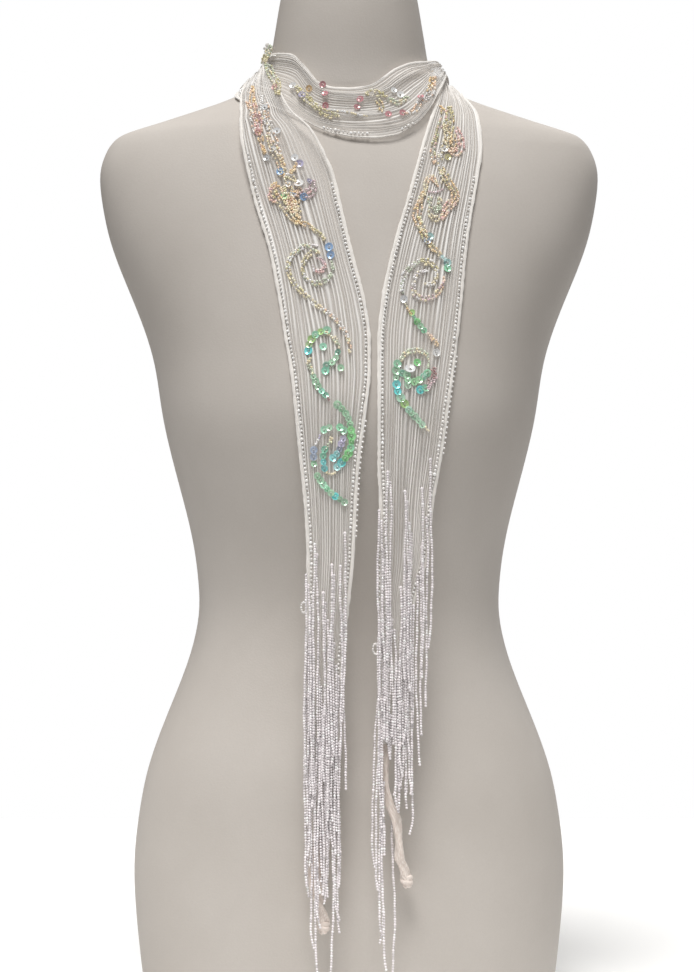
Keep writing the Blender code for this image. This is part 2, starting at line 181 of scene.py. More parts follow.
# %% Sizes of the twisted ends
TIP_COLUMNS = ("height", "x", "behind", "wide", "deep")
LEFT_TIP = (
    (151.4, -18.5, -1.3, 4.8, 1.0),
    (140, -21.5, 0.6, 5.0, 2.4),
    (125, -24, 1.2, 4.8, 2.8),
    (108, -23.5, 1.6, 3.8, 3.0),
    (97, -20.5, 2.0, 3.0, 3.0),
    (91, -19, 2.4, 2.9, 2.9),
    (84, -18.5, 4.6, 3.9, 3.9),
    (77, -18.5, 2.6, 2.8, 2.8),
    (71, -19, 2.6, 3.4, 3.0),
)
RIGHT_TIP = (
    (214.4, 27.5, -1.3, 3.2, 1.0),
    (204, 26.5, 0.2, 2.6, 2.0),
    (186, 26.5, 0.9, 2.4, 2.4),
    (172, 29, 1.2, 2.6, 2.6),
    (158, 34.5, 1.6, 3.2, 3.0),
    (144, 36, 1.6, 3.2, 3.0),
    (132, 36.5, 1.6, 3.0, 3.0),
    (125, 39.5, 2.4, 2.8, 2.8),
    (117, 41.5, 4.4, 3.8, 3.7),
    (110, 42.5, 2.6, 2.8, 2.8),
    (105, 43, 2.6, 3.3, 2.9),
)

# %% Sizes of the bead strands
BACKING_COLUMNS = ("name", "top_root", "bottom_root", "top_share", "bottom_share", "strands")
LEFT_BACKINGS = (
    ("left_fringe_outer", 360, 182, 0.93, 0.9, 9),
    ("left_fringe_middle", 345, 204, 0.55, 0.5, 8),
    ("left_fringe_inner", 368, 176, 0.28, 0.18, 9),
)
RIGHT_BACKINGS = (
    ("right_fringe_outer", 421, 252, 0.77, 0.82, 9),
    ("right_fringe_middle", 398, 236, 0.48, 0.5, 8),
    ("right_fringe_inner", 412, 188, 0.08, 0.14, 9),
)
STRAND_LENGTH = 137
LANE = 3.1  # strands hang in lanes this far apart
LAYER = 2.4  # and in layers this far apart
FIRST_LAYER = 4.1  # how far the first layer hangs in front of the form's face
STRAND_BEAD = 2.0  # diameter of a strand's beads
BEAD_PITCH = 1.95  # from one bead of a strand to the next
TWIN_ROOT = 215  # a strand that starts above this has a second one beside it
TWIN_DROP = 7.5  # whose root is this much lower
TWIN_SPANS = ((-34, -7), (19, 44))  # where there are second strands, from x to x
# from x to x, strands end above this height, so that the knots show
KNOT_SHOWS = ((-22.5, -13.5, 98), (25, 33, 203), (33, 44.5, 163))
# strands that hang from the twisted cloth: root height, root x, x of the end, y from the form's face
CORD_STRANDS = {
    "right_fringe_inner": ((262, 22.0, 17.4, -3.6), (247, 22.8, 20.0, -5.2), (178, 29.5, 32.6, 5.4)),
}

# %% [markdown]
# ## Curves through a table
# A table has only the rows that its shape needs, so a smooth curve fills in between them. This one is a
# monotone cubic: it never swings past a row, which an ordinary spline does where a step is steep.


# %% Curves
def named(columns, table):
    """The table's columns by name, as arrays."""
    return {name: np.array(values) for name, values in zip(columns, zip(*table))}


def smooth(places, values):
    """A curve through the values at rising places, with no overshoot between them."""
    places = np.asarray(places, float)
    values = np.asarray(values, float)
    step = np.diff(places)
    slope = np.diff(values) / step
    tangent = np.zeros(len(values))
    tangent[0] = slope[0]
    tangent[-1] = slope[-1]
    before, after = slope[:-1], slope[1:]
    same_way = before * after > 0
    tangent[1:-1][same_way] = (2 * before * after)[same_way] / (before + after)[same_way]

    def at(place):
        place = np.clip(place, places[0], places[-1])
        i = np.clip(np.searchsorted(places, place) - 1, 0, len(step) - 1)
        t = (place - places[i]) / step[i]
        start = (1 + 2 * t) * (1 - t) ** 2 * values[i] + t * (1 - t) ** 2 * step[i] * tangent[i]
        return start + t**2 * (3 - 2 * t) * values[i + 1] + t**2 * (t - 1) * step[i] * tangent[i + 1]

    return at


form_table = named(FORM_COLUMNS, FORM)
half_width, front_depth, back_depth, squareness = (
    smooth(form_table["height"], form_table[column]) for column in FORM_COLUMNS[1:]
)
print("the form is", form_table["half_width"].max() * 2, "mm wide and", FORM[-1][0], "mm tall")

# %% [markdown]
# ## The face that cloth lies on
# A point of the form is given by an angle round it and a height. Cloth is that point, moved out along the
# normal. Below the bust the face goes straight down, because hanging cloth doesn't follow the waist in.


# %% The form's face
def face(angle, height):
    """A point of the face that cloth lies on. Angle 0 is the front, and a quarter turn +X."""
    level = np.maximum(height, BUST_HEIGHT)
    across, along = np.sin(angle), np.cos(angle)
    swell = 1 + squareness(level) * np.sin(2 * angle) ** 2
    depth = np.where(along > 0, front_depth(level), back_depth(level))
    x, y = half_width(level) * across * swell, -depth * along * swell
    return np.stack(np.broadcast_arrays(x, y, height), -1)


def off_face(angle, height, lift):
    """A point lifted off the face along the face's normal."""
    nudge = 0.01
    across = face(angle + nudge, height) - face(angle - nudge, height)
    along = face(angle, height + nudge * 50) - face(angle, height - nudge * 50)
    normal = np.cross(across, along)
    normal /= np.linalg.norm(normal, axis=-1, keepdims=True)
    return face(angle, height) + normal * np.asarray(lift)[..., None]


def angle_of(x, height):
    """The angle at which the front of the face has this x."""
    level = np.maximum(height, BUST_HEIGHT)
    angle = np.zeros(np.broadcast(x, level).shape)
    for _ in range(8):
        swell = 1 + squareness(level) * np.sin(2 * angle) ** 2
        angle = np.arcsin(np.clip(x / (half_width(level) * swell), -1, 1))
    return angle


# %% The five stretches of the scarf
def front_track(table):
    """Edges of a stretch in front, as a function of the run along it from 0 to 1."""
    rows = named(FRONT_COLUMNS, table)
    places = np.linspace(0, 1, len(table))
    first_x, first_height, second_x, second_height, lift = (
        smooth(places, rows[column]) for column in FRONT_COLUMNS
    )

    def at(run):
        first = angle_of(first_x(run), first_height(run)), first_height(run)
        second = angle_of(second_x(run), second_height(run)), second_height(run)
        return *first, *second, lift(run)

    return at


def back_track(table, start, end, turns):
    """Edges of a round of the nape, from the stretch start to the stretch end."""
    rows = named(BACK_COLUMNS, table)
    angle = np.radians(rows["angle"])
    middle = np.stack([angle, rows["top_height"], angle, rows["bottom_height"], rows["lift"]], 1)
    end = np.array(end) + np.array([turns * math.tau, 0, turns * math.tau, 0, 0])
    whole = np.vstack([start, middle, end])
    places = np.linspace(0, 1, len(whole))
    curves = [smooth(places, column) for column in whole.T]
    return lambda run: tuple(curve(run) for curve in curves)


loop_track = front_track(FRONT_LOOP)
left_track = front_track(LEFT_TAIL)
right_track = front_track(RIGHT_TAIL)
inner_track = back_track(INNER_BAND, loop_track(0.0), right_track(0.0), -1)
outer_track = back_track(OUTER_BAND, loop_track(1.0), left_track(0.0), 1)


def wall_grid(track, run, across, lift):
    """Points between a track's two edges, lifted by the track's own lift and by lift."""
    first_angle, first_height, second_angle, second_height, own = track(run)
    angle = first_angle + (second_angle - first_angle) * across
    height = first_height + (second_height - first_height) * across
    return off_face(angle, height, own + lift)


def both_edges(track, run):
    """Points of a track's two edges."""
    return wall_grid(track, run[:, None], np.array([[0.0, 1.0]]), 0.0)


def width_of(track, run):
    """How wide a track is."""
    edges = both_edges(track, run)
    return np.linalg.norm(edges[:, 1] - edges[:, 0], axis=1)


def spread(track):
    """Runs that lie evenly along a track, about a row step apart, and the track's length."""
    fine = np.linspace(0, 1, 401)
    steps = np.linalg.norm(np.diff(both_edges(track, fine), axis=0), axis=2).max(1)
    along = np.concatenate([[0], np.cumsum(steps)])
    rows = math.ceil(along[-1] / ROW_STEP)
    return np.interp(np.linspace(0, along[-1], rows + 1), along, fine), along[-1]


# %% [markdown]
# ## Camera, light and floor
# The camera stands where the photographer stood: level, in front, with the form's neck near the top edge.
# The light is a wide, soft sun from above and a little from the left, so that the folds and the pleats
# show their shadows. A weak one stands behind, and the sky fills the shadows. To the camera alone the sky
# is as bright as the lit floor, so that the floor has no end.

# %% Camera
FRAME_HEIGHT = 972  # pixels of the picture, top to bottom
PIXEL = 0.78  # mm that a pixel covers at the form's axis
CAMERA_X = -1.5
CAMERA_DISTANCE = 1750
CAMERA_HEIGHT = 401
SENSOR = 36

camera_data = bpy.data.cameras.new("camera")
camera_data.sensor_fit = "VERTICAL"
camera_data.sensor_height = SENSOR
camera_data.lens = SENSOR * CAMERA_DISTANCE / (FRAME_HEIGHT * PIXEL)
camera = bpy.data.objects.new("camera", camera_data)
camera.location = (CAMERA_X * MM, -CAMERA_DISTANCE * MM, CAMERA_HEIGHT * MM)
camera.rotation_euler = (math.pi / 2, 0, 0)
bpy.context.scene.collection.objects.link(camera)
bpy.context.scene.camera = camera
bpy.context.scene.view_settings.view_transform = "Standard"
print("lens:", round(camera_data.lens, 1), "mm")


# %% Lamps
def aimed(name, data, place, aim):
    """A light that looks from a place at a point."""
    thing = bpy.data.objects.new(name, data)
    thing.location = place
    thing.rotation_euler = (Vector(aim) - Vector(place)).to_track_quat("-Z", "Y").to_euler()
    bpy.context.scene.collection.objects.link(thing)


key = bpy.data.lights.new("key", "SUN")
key.energy = 3.4
key.angle = math.radians(26)
key.color = (1.0, 0.99, 0.975)
aimed("key", key, (-0.22, -1.0, 3.0), (0, 0, 0.5))

back = bpy.data.lights.new("back", "SUN")
back.energy = 0.6
back.angle = math.radians(40)
aimed("back", back, (0.8, 1.5, 1.4), (0, 0, 0.6))

# %% Sky
SKY_LIGHT = 0.23
SKY_SEEN = 1.0  # the radiance of the lit floor
sky = bpy.data.worlds.new("sky")
sky.use_nodes = True
sky_nodes = sky.node_tree.nodes
lighting = sky_nodes["Background"]
lighting.inputs["Color"].default_value = (1.0, 0.99, 0.98, 1)
lighting.inputs["Strength"].default_value = SKY_LIGHT
seen = sky_nodes.new("ShaderNodeBackground")
seen.inputs["Color"].default_value = (1.0, 1.0, 1.0, 1)
seen.inputs["Strength"].default_value = SKY_SEEN
rays = sky_nodes.new("ShaderNodeLightPath")
choice = sky_nodes.new("ShaderNodeMixShader")
sky.node_tree.links.new(rays.outputs["Is Camera Ray"], choice.inputs[0])
sky.node_tree.links.new(lighting.outputs["Background"], choice.inputs[1])
sky.node_tree.links.new(seen.outputs["Background"], choice.inputs[2])
sky.node_tree.links.new(choice.outputs["Shader"], sky_nodes["World Output"].inputs["Surface"])
bpy.context.scene.world = sky
print("lights:", len(bpy.data.lights))


# %% [markdown]
# ## Finishes
# Each finish is a small node tree on one Principled shader. Numbers that are the same all over are set on
# the shader itself, and only what varies, such as the colour of the threads, comes from nodes.


# %% Helpers for finishes
def finish(name, roughness, metallic=0.0):
    """A new material, and its node tree's parts."""
    material = bpy.data.materials.new(name)
    material.use_nodes = True
    tree = material.node_tree
    shader = tree.nodes["Principled BSDF"]
    shader.inputs["Roughness"].default_value = roughness
    shader.inputs["Metallic"].default_value = metallic
    return material, tree, shader


def node(tree, kind, **settings):
    """A new node with its own settings."""
    made = tree.nodes.new(kind)
    for key, value in settings.items():
        setattr(made, key, value)
    return made


def noise(tree, vector, scale, detail):
    """A noise texture on a vector."""
    texture = node(tree, "ShaderNodeTexNoise")
    texture.inputs["Scale"].default_value = scale
    texture.inputs["Detail"].default_value = detail
    texture.inputs["Roughness"].default_value = 0.55
    tree.links.new(vector, texture.inputs["Vector"])
    return texture.outputs["Fac"]


def ramp(tree, value, stops):
    """Colours by a value from 0 to 1."""
    colours = node(tree, "ShaderNodeValToRGB")
    elements = colours.color_ramp.elements
    elements[0].position, elements[0].color = stops[0][0], (*stops[0][1], 1)
    elements[1].position, elements[1].color = stops[-1][0], (*stops[-1][1], 1)
    for place, colour in stops[1:-1]:
        elements.new(place).color = (*colour, 1)
    tree.links.new(value, colours.inputs["Fac"])
    return colours.outputs["Color"]


def bump(tree, shader, value, distance, strength):
    """Relief on the shader's normal, distance in metres."""
    relief = node(tree, "ShaderNodeBump")
    relief.inputs["Distance"].default_value = distance
    relief.inputs["Strength"].default_value = strength
    tree.links.new(value, relief.inputs["Height"])
    tree.links.new(relief.outputs["Normal"], shader.inputs["Normal"])


def stretched(tree, source, scale):
    """A vector scaled by three numbers."""
    mapping = node(tree, "ShaderNodeMapping")
    mapping.inputs["Scale"].default_value = scale
    tree.links.new(source, mapping.inputs["Vector"])
    return mapping.outputs["Vector"]


def mixed(tree, share, first, second):
    """Two colours mixed by a share that a node gives."""
    mix = node(tree, "ShaderNodeMix", data_type="RGBA")
    tree.links.new(share, mix.inputs["Factor"])
    for socket, colour in ((mix.inputs["A"], first), (mix.inputs["B"], second)):
        if isinstance(colour, tuple):
            socket.default_value = (*colour, 1)
        else:
            tree.links.new(colour, socket)
    return mix.outputs["Result"]


def weighted(tree, value, weight, base):
    """A value times a weight, plus a base that is a number or another value."""
    sum_of = node(tree, "ShaderNodeMath", operation="MULTIPLY_ADD")
    tree.links.new(value, sum_of.inputs[0])
    sum_of.inputs[1].default_value = weight
    if isinstance(base, float):
        sum_of.inputs[2].default_value = base
    else:
        tree.links.new(base, sum_of.inputs[2])
    return sum_of.outputs["Value"]


def ranged(tree, value, low, high):
    """A value from 0 to 1 spread from low to high."""
    spreader = node(tree, "ShaderNodeMapRange")
    spreader.inputs["To Min"].default_value = low
    spreader.inputs["To Max"].default_value = high
    tree.links.new(value, spreader.inputs["Value"])
    return spreader.outputs["Result"]


# %% [markdown]
# ### Chiffon
# Crinkle chiffon is sheer. Where it lies flat the form shows through it, and on each pleat the threads
# crowd together, so the pleat is denser and whiter over the form. On top of that the colour is painted
# lighter on the tops of the pleats, a painted highlight, and the troughs keep a darker streaky tone,
# painted shade. The mesh carries each pleat's height as an attribute, ridge, and the cloth's own UV map
# runs across and along the scarf, so that fine streaks follow the pleats.


# %% Chiffon
def chiffon_finish(name, thin, dense, shade, light):
    """Sheer crinkled cloth. Thin and dense are its opacity between the pleats and on them."""
    material, tree, shader = finish(name, 0.55)
    shader.inputs["Sheen Weight"].default_value = 0.2
    shader.inputs["Sheen Roughness"].default_value = 0.4
    shader.inputs["Specular IOR Level"].default_value = 0.3
    uv = node(tree, "ShaderNodeUVMap", uv_map="UVMap").outputs["UV"]
    ridge = node(tree, "ShaderNodeAttribute", attribute_name="ridge").outputs["Fac"]
    threads = noise(tree, stretched(tree, uv, (120, 20, 1)), 1.0, 2.0)
    streaks = noise(tree, stretched(tree, uv, (34, 9, 1)), 1.0, 2.0)
    streaky = ramp(tree, streaks, ((0.36, shade), (0.6, light)))
    # painted highlight: on the tops of the pleats the colour turns to the light tone, and the troughs keep
    # the darker streaks as painted shade
    painted_ridge_highlight = mixed(tree, ridge, streaky, light)
    fine = ramp(tree, threads, ((0.4, (0.0, 0.0, 0.0)), (0.62, (1.0, 1.0, 1.0))))
    paler = mixed(tree, ranged(tree, fine, 0.0, 0.6), painted_ridge_highlight, light)
    tree.links.new(paler, shader.inputs["Base Color"])
    crowd = weighted(tree, ridge, 1.35, -0.33)
    crowd = weighted(tree, streaks, 0.35, crowd)
    crowd = weighted(tree, threads, 0.3, crowd)
    tree.links.new(ranged(tree, crowd, thin, dense), shader.inputs["Alpha"])
    bump(tree, shader, threads, 0.0004, 0.6)
    return material


# IVORY is the light tone, also painted on the pleat tops as a highlight; IVORY_SHADE is the darker streak
# tone that stays in the troughs as painted shade
IVORY = (0.99, 0.97, 0.945)
IVORY_SHADE = (0.83, 0.78, 0.725)
chiffon = chiffon_finish("crinkle_chiffon", 0.1, 0.94, IVORY_SHADE, IVORY)


# %% Hem and twisted chiffon
def rolled_finish(name, shade, light):
    """Chiffon in many layers, as in a rolled hem or a twisted end. It is no longer sheer."""
    material, tree, shader = finish(name, 0.6)
    shader.inputs["Sheen Weight"].default_value = 0.3
    uv = node(tree, "ShaderNodeUVMap", uv_map="UVMap").outputs["UV"]
    threads = noise(tree, stretched(tree, uv, (30, 260, 1)), 1.0, 3.0)
    tree.links.new(ramp(tree, threads, ((0.3, shade), (0.7, light))), shader.inputs["Base Color"])
    bump(tree, shader, threads, 0.0004, 0.7)
    return material


hem_chiffon = rolled_finish("hem_chiffon", (0.80, 0.755, 0.705), (0.99, 0.96, 0.92))
twisted_chiffon = rolled_finish("twisted_chiffon", (0.66, 0.54, 0.47), (0.94, 0.87, 0.81))

# %% [markdown]
# ### Beads and sequins
# Beads and sequins are copied by the hundred, and each copy carries its own colour as an attribute, tint.
# One finish then serves them all. A thin film over a glossy base gives them the change of colour that
# iridescent coatings have.


# %% Beads and sequins
def tinted_finish(name, roughness, metallic, coat, film, alpha):
    """A glossy finish that takes its colour from each copy's tint."""
    material, tree, shader = finish(name, roughness, metallic)
    shader.inputs["Coat Weight"].default_value = coat
    shader.inputs["Coat Roughness"].default_value = 0.08
    shader.inputs["Thin Film Thickness"].default_value = film
    shader.inputs["Thin Film IOR"].default_value = 1.45
    shader.inputs["Alpha"].default_value = alpha
    tint = node(tree, "ShaderNodeAttribute", attribute_name="tint").outputs["Color"]
    place = node(tree, "ShaderNodeTexCoord").outputs["Object"]
    flecks = noise(tree, place, 900.0, 2.0)
    pale = mixed(tree, ranged(tree, flecks, 0.0, 0.3), tint, (0.97, 0.97, 0.97))
    tree.links.new(pale, shader.inputs["Base Color"])
    return material


bead_glass = tinted_finish("bead_glass", 0.24, 0.0, 0.35, 250, 1.0)
sequin_film = tinted_finish("sequin_film", 0.24, 0.25, 0.5, 420, 0.8)


# %% [markdown]
# ### The form's shell
# The form is matte and warm grey. Fine grain and faint clouds keep it from looking like plastic wrap.


# %% Form shell
def shell_finish():
    """A matte, faintly clouded shell with a fine grain."""
    material, tree, shader = finish("form_shell", 0.72)
    shader.inputs["Specular IOR Level"].default_value = 0.3
    place = node(tree, "ShaderNodeTexCoord").outputs["Object"]
    clouds = noise(tree, place, 9.0, 4.0)
    grain = noise(tree, place, 700.0, 2.0)
    base = ramp(tree, clouds, ((0.3, (0.54, 0.50, 0.46)), (0.7, (0.60, 0.56, 0.52))))
    grainy = mixed(tree, ranged(tree, grain, 0.0, 0.3), base, (0.44, 0.40, 0.36))
    tree.links.new(grainy, shader.inputs["Base Color"])
    bump(tree, shader, grain, 0.0003, 0.4)
    return material


form_shell = shell_finish()
print("finishes:", len(bpy.data.materials))


# %% [markdown]
# ## Helpers for making pieces
# A new primitive must be alone in the selection, because an operator acts on all that is selected. What is
# made from arrays goes through one helper, which also gives it its UV map and its attributes.


# %% Helpers for pieces
def added(operator, **settings):
    """A primitive, alone in the selection and active."""
    bpy.ops.object.select_all(action="DESELECT")
    operator(**settings)
    return bpy.context.object


def seated(piece, material, replaced=()):
    """The piece gets its finish, rides on the one body, and stands for the nodes that it replaces."""
    piece.data.materials.clear()
    piece.data.materials.append(material)
    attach(piece, "root")
    if replaced:
        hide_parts(*replaced)
    return piece


SHARP_ANGLE = 60  # degrees between two faces, above which their edge stays sharp


def from_arrays(name, points, faces, uv=None, ridge=None, tint=None):
    """An object from points in millimetres and faces that all have the same number of corners."""
    points = np.asarray(points, float).reshape(-1, 3) * MM
    faces = np.asarray(faces, np.int32)
    corners = faces.shape[1]
    mesh = bpy.data.meshes.new(name)
    mesh.vertices.add(len(points))
    mesh.vertices.foreach_set("co", points.astype(np.float32).ravel())
    mesh.loops.add(faces.size)
    mesh.loops.foreach_set("vertex_index", faces.ravel())
    mesh.polygons.add(len(faces))
    mesh.polygons.foreach_set("loop_start", np.arange(len(faces), dtype=np.int32) * corners)
    mesh.update(calc_edges=True)
    if uv is not None:
        layer = mesh.uv_layers.new(name="UVMap")
        layer.uv.foreach_set("vector", np.asarray(uv, np.float32).reshape(-1, 2)[faces.ravel()].ravel())
    if ridge is not None:
        attribute = mesh.attributes.new("ridge", "FLOAT", "POINT")
        attribute.data.foreach_set("value", np.asarray(ridge, np.float32).ravel())
    if tint is not None:
        attribute = mesh.attributes.new("tint", "FLOAT_COLOR", "POINT")
        attribute.data.foreach_set("color", np.asarray(tint, np.float32).ravel())
    mesh.shade_smooth()
    mesh.set_sharp_from_angle(angle=math.radians(SHARP_ANGLE))
    thing = bpy.data.objects.new(name, mesh)
    bpy.context.scene.collection.objects.link(thing)
    return thing


def grid_faces(rows, columns, start, turned):
    """Quads of a grid of rows + 1 by columns + 1 points, whose first point has the number start."""
    row, column = np.mgrid[0:rows, 0:columns]
    here = (start + row * (columns + 1) + column).ravel()
    quads = np.stack([here, here + 1, here + columns + 2, here + columns + 1], 1)
    return quads[:, ::-1] if turned else quads


# %% [markdown]
# ## The dress form
# On the real object a stiff, smooth torso carries the scarf. The solid in the frame is faceted, so a copy
# of it is merged, its triangles are joined into quads, and a subdivision surface rounds it. The subdivided
# shape lies just inside the solid's corners, so it stays clear of the cloth. Its base stays flat and sharp.

# %% Dress form
BASE_TOP = 0.001  # what lies below this height, in metres, belongs to the flat base
NECK_TOP = 0.7905  # and what lies above this one to the flat end of the neck

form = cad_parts["dress_form"].copy()
form.data = form.data.copy()
form.name = "form"
for key in list(form.keys()):
    if key.startswith("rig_"):
        del form[key]
form.parent = None
bpy.context.scene.collection.objects.link(form)
bpy.ops.object.select_all(action="DESELECT")
form.select_set(True)
bpy.context.view_layer.objects.active = form
bpy.ops.object.mode_set(mode="EDIT")
bpy.ops.mesh.select_all(action="SELECT")
bpy.ops.mesh.remove_doubles(threshold=0.00005)
bpy.ops.mesh.customdata_custom_splitnormals_clear()
bpy.ops.mesh.select_all(action="DESELECT")
bpy.ops.object.mode_set(mode="OBJECT")
for flat in form.data.polygons:
    at_an_end = flat.center.z < BASE_TOP or flat.center.z > NECK_TOP
    flat.select = abs(flat.normal.z) > 0.99 and at_an_end
bpy.ops.object.mode_set(mode="EDIT")
bpy.ops.mesh.dissolve_limited(angle_limit=0.01)
bpy.ops.mesh.select_all(action="SELECT")
bpy.ops.mesh.tris_convert_to_quads(face_threshold=1.2, shape_threshold=1.2)
bpy.ops.object.mode_set(mode="OBJECT")
creases = form.data.attributes.new("crease_edge", "FLOAT", "EDGE")
for edge in form.data.edges:
    higher_end = max(form.data.vertices[corner].co.z for corner in edge.vertices)
    creases.data[edge.index].value = 1.0 if higher_end < BASE_TOP else 0.0
rounder = form.modifiers.new("round", "SUBSURF")
rounder.levels = rounder.render_levels = 2
bpy.ops.object.modifier_apply(modifier="round")
bpy.ops.object.shade_smooth_by_angle(angle=math.radians(40))
seated(form, form_shell, ("dress_form",))
print("form:", len(form.data.polygons), "faces")


# %% [markdown]
# ## The chiffon
# The scarf is one strip, so its pleats run on from one stretch into the next. Every stretch therefore
# knows where it starts along the whole scarf, and the crinkles are a function of that place. Each pleat
# has its own strength, which rises and falls along it. The larger creases are listed in tables, a row each.


# %% Crinkles and creases
def uneven(seed, rows, columns):
    """Soft unevenness from 0 to 1: seeded values on a coarse grid, smooth between them."""
    values = np.random.default_rng(seed).random((rows + 1, columns + 1))

    def at(run, across):
        run, across = np.broadcast_arrays(np.clip(run, 0, 1) * rows, np.clip(across, 0, 1) * columns)
        i = np.minimum(run.astype(int), rows - 1)
        j = np.minimum(across.astype(int), columns - 1)
        u, v = run - i, across - j
        u, v = u * u * (3 - 2 * u), v * v * (3 - 2 * v)
        near = values[i, j] * (1 - v) + values[i, j + 1] * v
        far = values[i + 1, j] * (1 - v) + values[i + 1, j + 1] * v
        return near * (1 - u) + far * u

    return at


PLEAT_SHARP = 1.8  # above 1, a pleat is narrower at its top than a plain wave
PLEAT_LEAST = 0.2  # height of the weakest pleat, as a share of the strongest
pleat_widths = np.random.default_rng(10).uniform(0.55, 1.45, PLEATS)
pleat_starts = np.concatenate([[0], np.cumsum(pleat_widths)]) / pleat_widths.sum()
pleat_numbers = np.arange(PLEATS + 1)
pleat_drift = uneven(11, 26, 9)
pleat_strength = uneven(12, 46, PLEATS)


def crinkle(place, across):
    """How far a crinkle pleat stands up, as a share of the tallest one. Place runs along the scarf."""
    number = np.interp(across, pleat_starts, pleat_numbers)
    drifted = number + pleat_drift(place, across) - 0.5
    ridge = (0.5 - 0.5 * np.cos(math.tau * drifted)) ** PLEAT_SHARP
    return ridge * (PLEAT_LEAST + (1 - PLEAT_LEAST) * pleat_strength(place, number / PLEATS) ** 1.3)


# a stretch, run and across of the middle, half the length and width, and how much lower the pleats are
CALM_PLACES = (
    ("left_tail", 0.24, 0.10, 0.10, 0.30, 0.85),
    ("front_loop", 0.30, 0.84, 0.40, 0.14, 0.6),
    ("front_loop", 0.12, 0.56, 0.14, 0.22, 0.7),
    ("left_tail", 0.15, 0.84, 0.15, 0.20, -0.5),
    ("right_tail", 0.12, 0.82, 0.12, 0.24, -0.4),
)


def calmed(name, run, across):
    """Cloth that is pulled smooth has lower pleats, and heaped cloth (depth below 0) has higher ones."""
    share = np.ones(np.broadcast(run, across).shape)
    for calm_name, calm_run, calm_across, long, wide, depth in CALM_PLACES:
        if calm_name == name:
            away = ((run - calm_run) / long) ** 2 + ((across - calm_across) / wide) ** 2
            share = share * (1 - depth * np.exp(-away))
    return share


def creased(table, run, across):
    """Soft ridges and troughs, each with its own start, end, height and width."""
    total = np.zeros(np.broadcast(run, across).shape)
    for start, end, start_across, end_across, height, width in table:
        share = np.clip((run - start) / (end - start), 0, 1)
        middle = start_across + (end_across - start_across) * share
        fading = np.sin(math.pi * share) ** 0.7
        total = total + height * fading * np.exp(-(((across - middle) / width) ** 2))
    return total


# %% Creases, listed one by one
# runs of the start and the end, places across of both, height and width
LOOP_CREASES = (
    (-0.10, 0.62, 0.10, 0.22, 1.6, 0.08),
    (0.00, 0.75, 0.34, 0.44, -0.7, 0.07),
    (0.02, 0.80, 0.50, 0.62, 2.2, 0.06),
    (0.30, 1.10, 0.16, 0.30, 1.4, 0.06),
    (0.40, 1.12, 0.76, 0.52, 2.6, 0.055),
    (0.50, 1.10, 0.48, 0.36, -0.8, 0.06),
    (0.10, 0.90, 0.84, 0.88, 0.9, 0.05),
    (0.62, 1.15, 0.26, 0.22, 1.2, 0.05),
    (0.66, 1.15, 0.90, 0.72, 1.3, 0.05),
)
LEFT_CREASES = (
    (-0.20, 0.42, 0.91, 0.95, 2.4, 0.032),
    (-0.20, 0.34, 0.78, 0.87, 2.1, 0.040),
    (-0.20, 0.28, 0.60, 0.74, 1.5, 0.050),
    (-0.20, 0.22, 0.36, 0.52, 1.6, 0.060),
    (-0.20, 0.16, 0.14, 0.30, 1.5, 0.060),
    (0.12, 0.38, 0.17, 0.09, 1.4, 0.040),
    (0.08, 0.54, 0.48, 0.30, 0.8, 0.050),
    (0.22, 0.70, 0.74, 0.60, 0.8, 0.040),
    (0.35, 0.95, 0.20, 0.26, 0.7, 0.040),
    (0.52, 1.00, 0.52, 0.50, 0.9, 0.060),
    (0.60, 1.10, 0.80, 0.74, 0.8, 0.060),
)
RIGHT_CREASES = (
    (-0.20, 0.26, 0.40, 0.30, 2.0, 0.08),
    (-0.20, 0.18, 0.70, 0.78, 1.8, 0.07),
    (-0.20, 0.34, 0.14, 0.08, 1.1, 0.05),
    (0.04, 0.40, 0.58, 0.66, 0.9, 0.05),
    (0.20, 0.72, 0.36, 0.44, 0.8, 0.05),
    (0.42, 0.98, 0.72, 0.62, 0.8, 0.05),
    (0.58, 1.10, 0.30, 0.40, 0.9, 0.06),
)
BAND_CREASES = (
    (-0.10, 0.46, 0.24, 0.36, 1.5, 0.08),
    (0.14, 0.86, 0.58, 0.48, 1.4, 0.07),
    (0.40, 1.10, 0.22, 0.16, 1.3, 0.07),
    (0.30, 0.92, 0.82, 0.86, 1.1, 0.06),
    (0.60, 1.10, 0.66, 0.74, 1.2, 0.06),
)
UNDER_CREASES = (
    (0.00, 0.70, 0.30, 0.44, 0.5, 0.08),
    (0.30, 1.00, 0.72, 0.62, 0.5, 0.08),
)

# %% Where each stretch lies along the scarf
STRETCH_COLUMNS = ("name", "track", "creases", "backwards")
STRETCHES = (
    ("right_tail", right_track, RIGHT_CREASES, True),
    ("back_band_inner", inner_track, UNDER_CREASES, True),
    ("front_loop", loop_track, LOOP_CREASES, False),
    ("back_band_outer", outer_track, BAND_CREASES, False),
    ("left_tail", left_track, LEFT_CREASES, False),
)
stretches = {}
scarf_length = 0.0
for row in STRETCHES:
    stretch = dict(zip(STRETCH_COLUMNS, row))
    stretch["runs"], stretch["length"] = spread(stretch["track"])
    stretch["start"] = scarf_length
    scarf_length += stretch["length"]
    stretches[stretch["name"]] = stretch
print("the scarf that shows is", round(scarf_length), "mm long")


def place_of(stretch, run):
    """Where a run of a stretch lies along the whole scarf, from 0 to 1."""
    share = 1 - run if stretch["backwards"] else run
    return (stretch["start"] + stretch["length"] * share) / scarf_length


def cloth_lift(stretch, run, across):
    """How far the middle of the thin cloth lies off its track, without its crinkles."""
    edge = np.sin(math.pi * np.clip(across, 0, 1)) ** 0.35
    return WALL - CHIFFON / 2 + creased(stretch["creases"], run, across) * edge


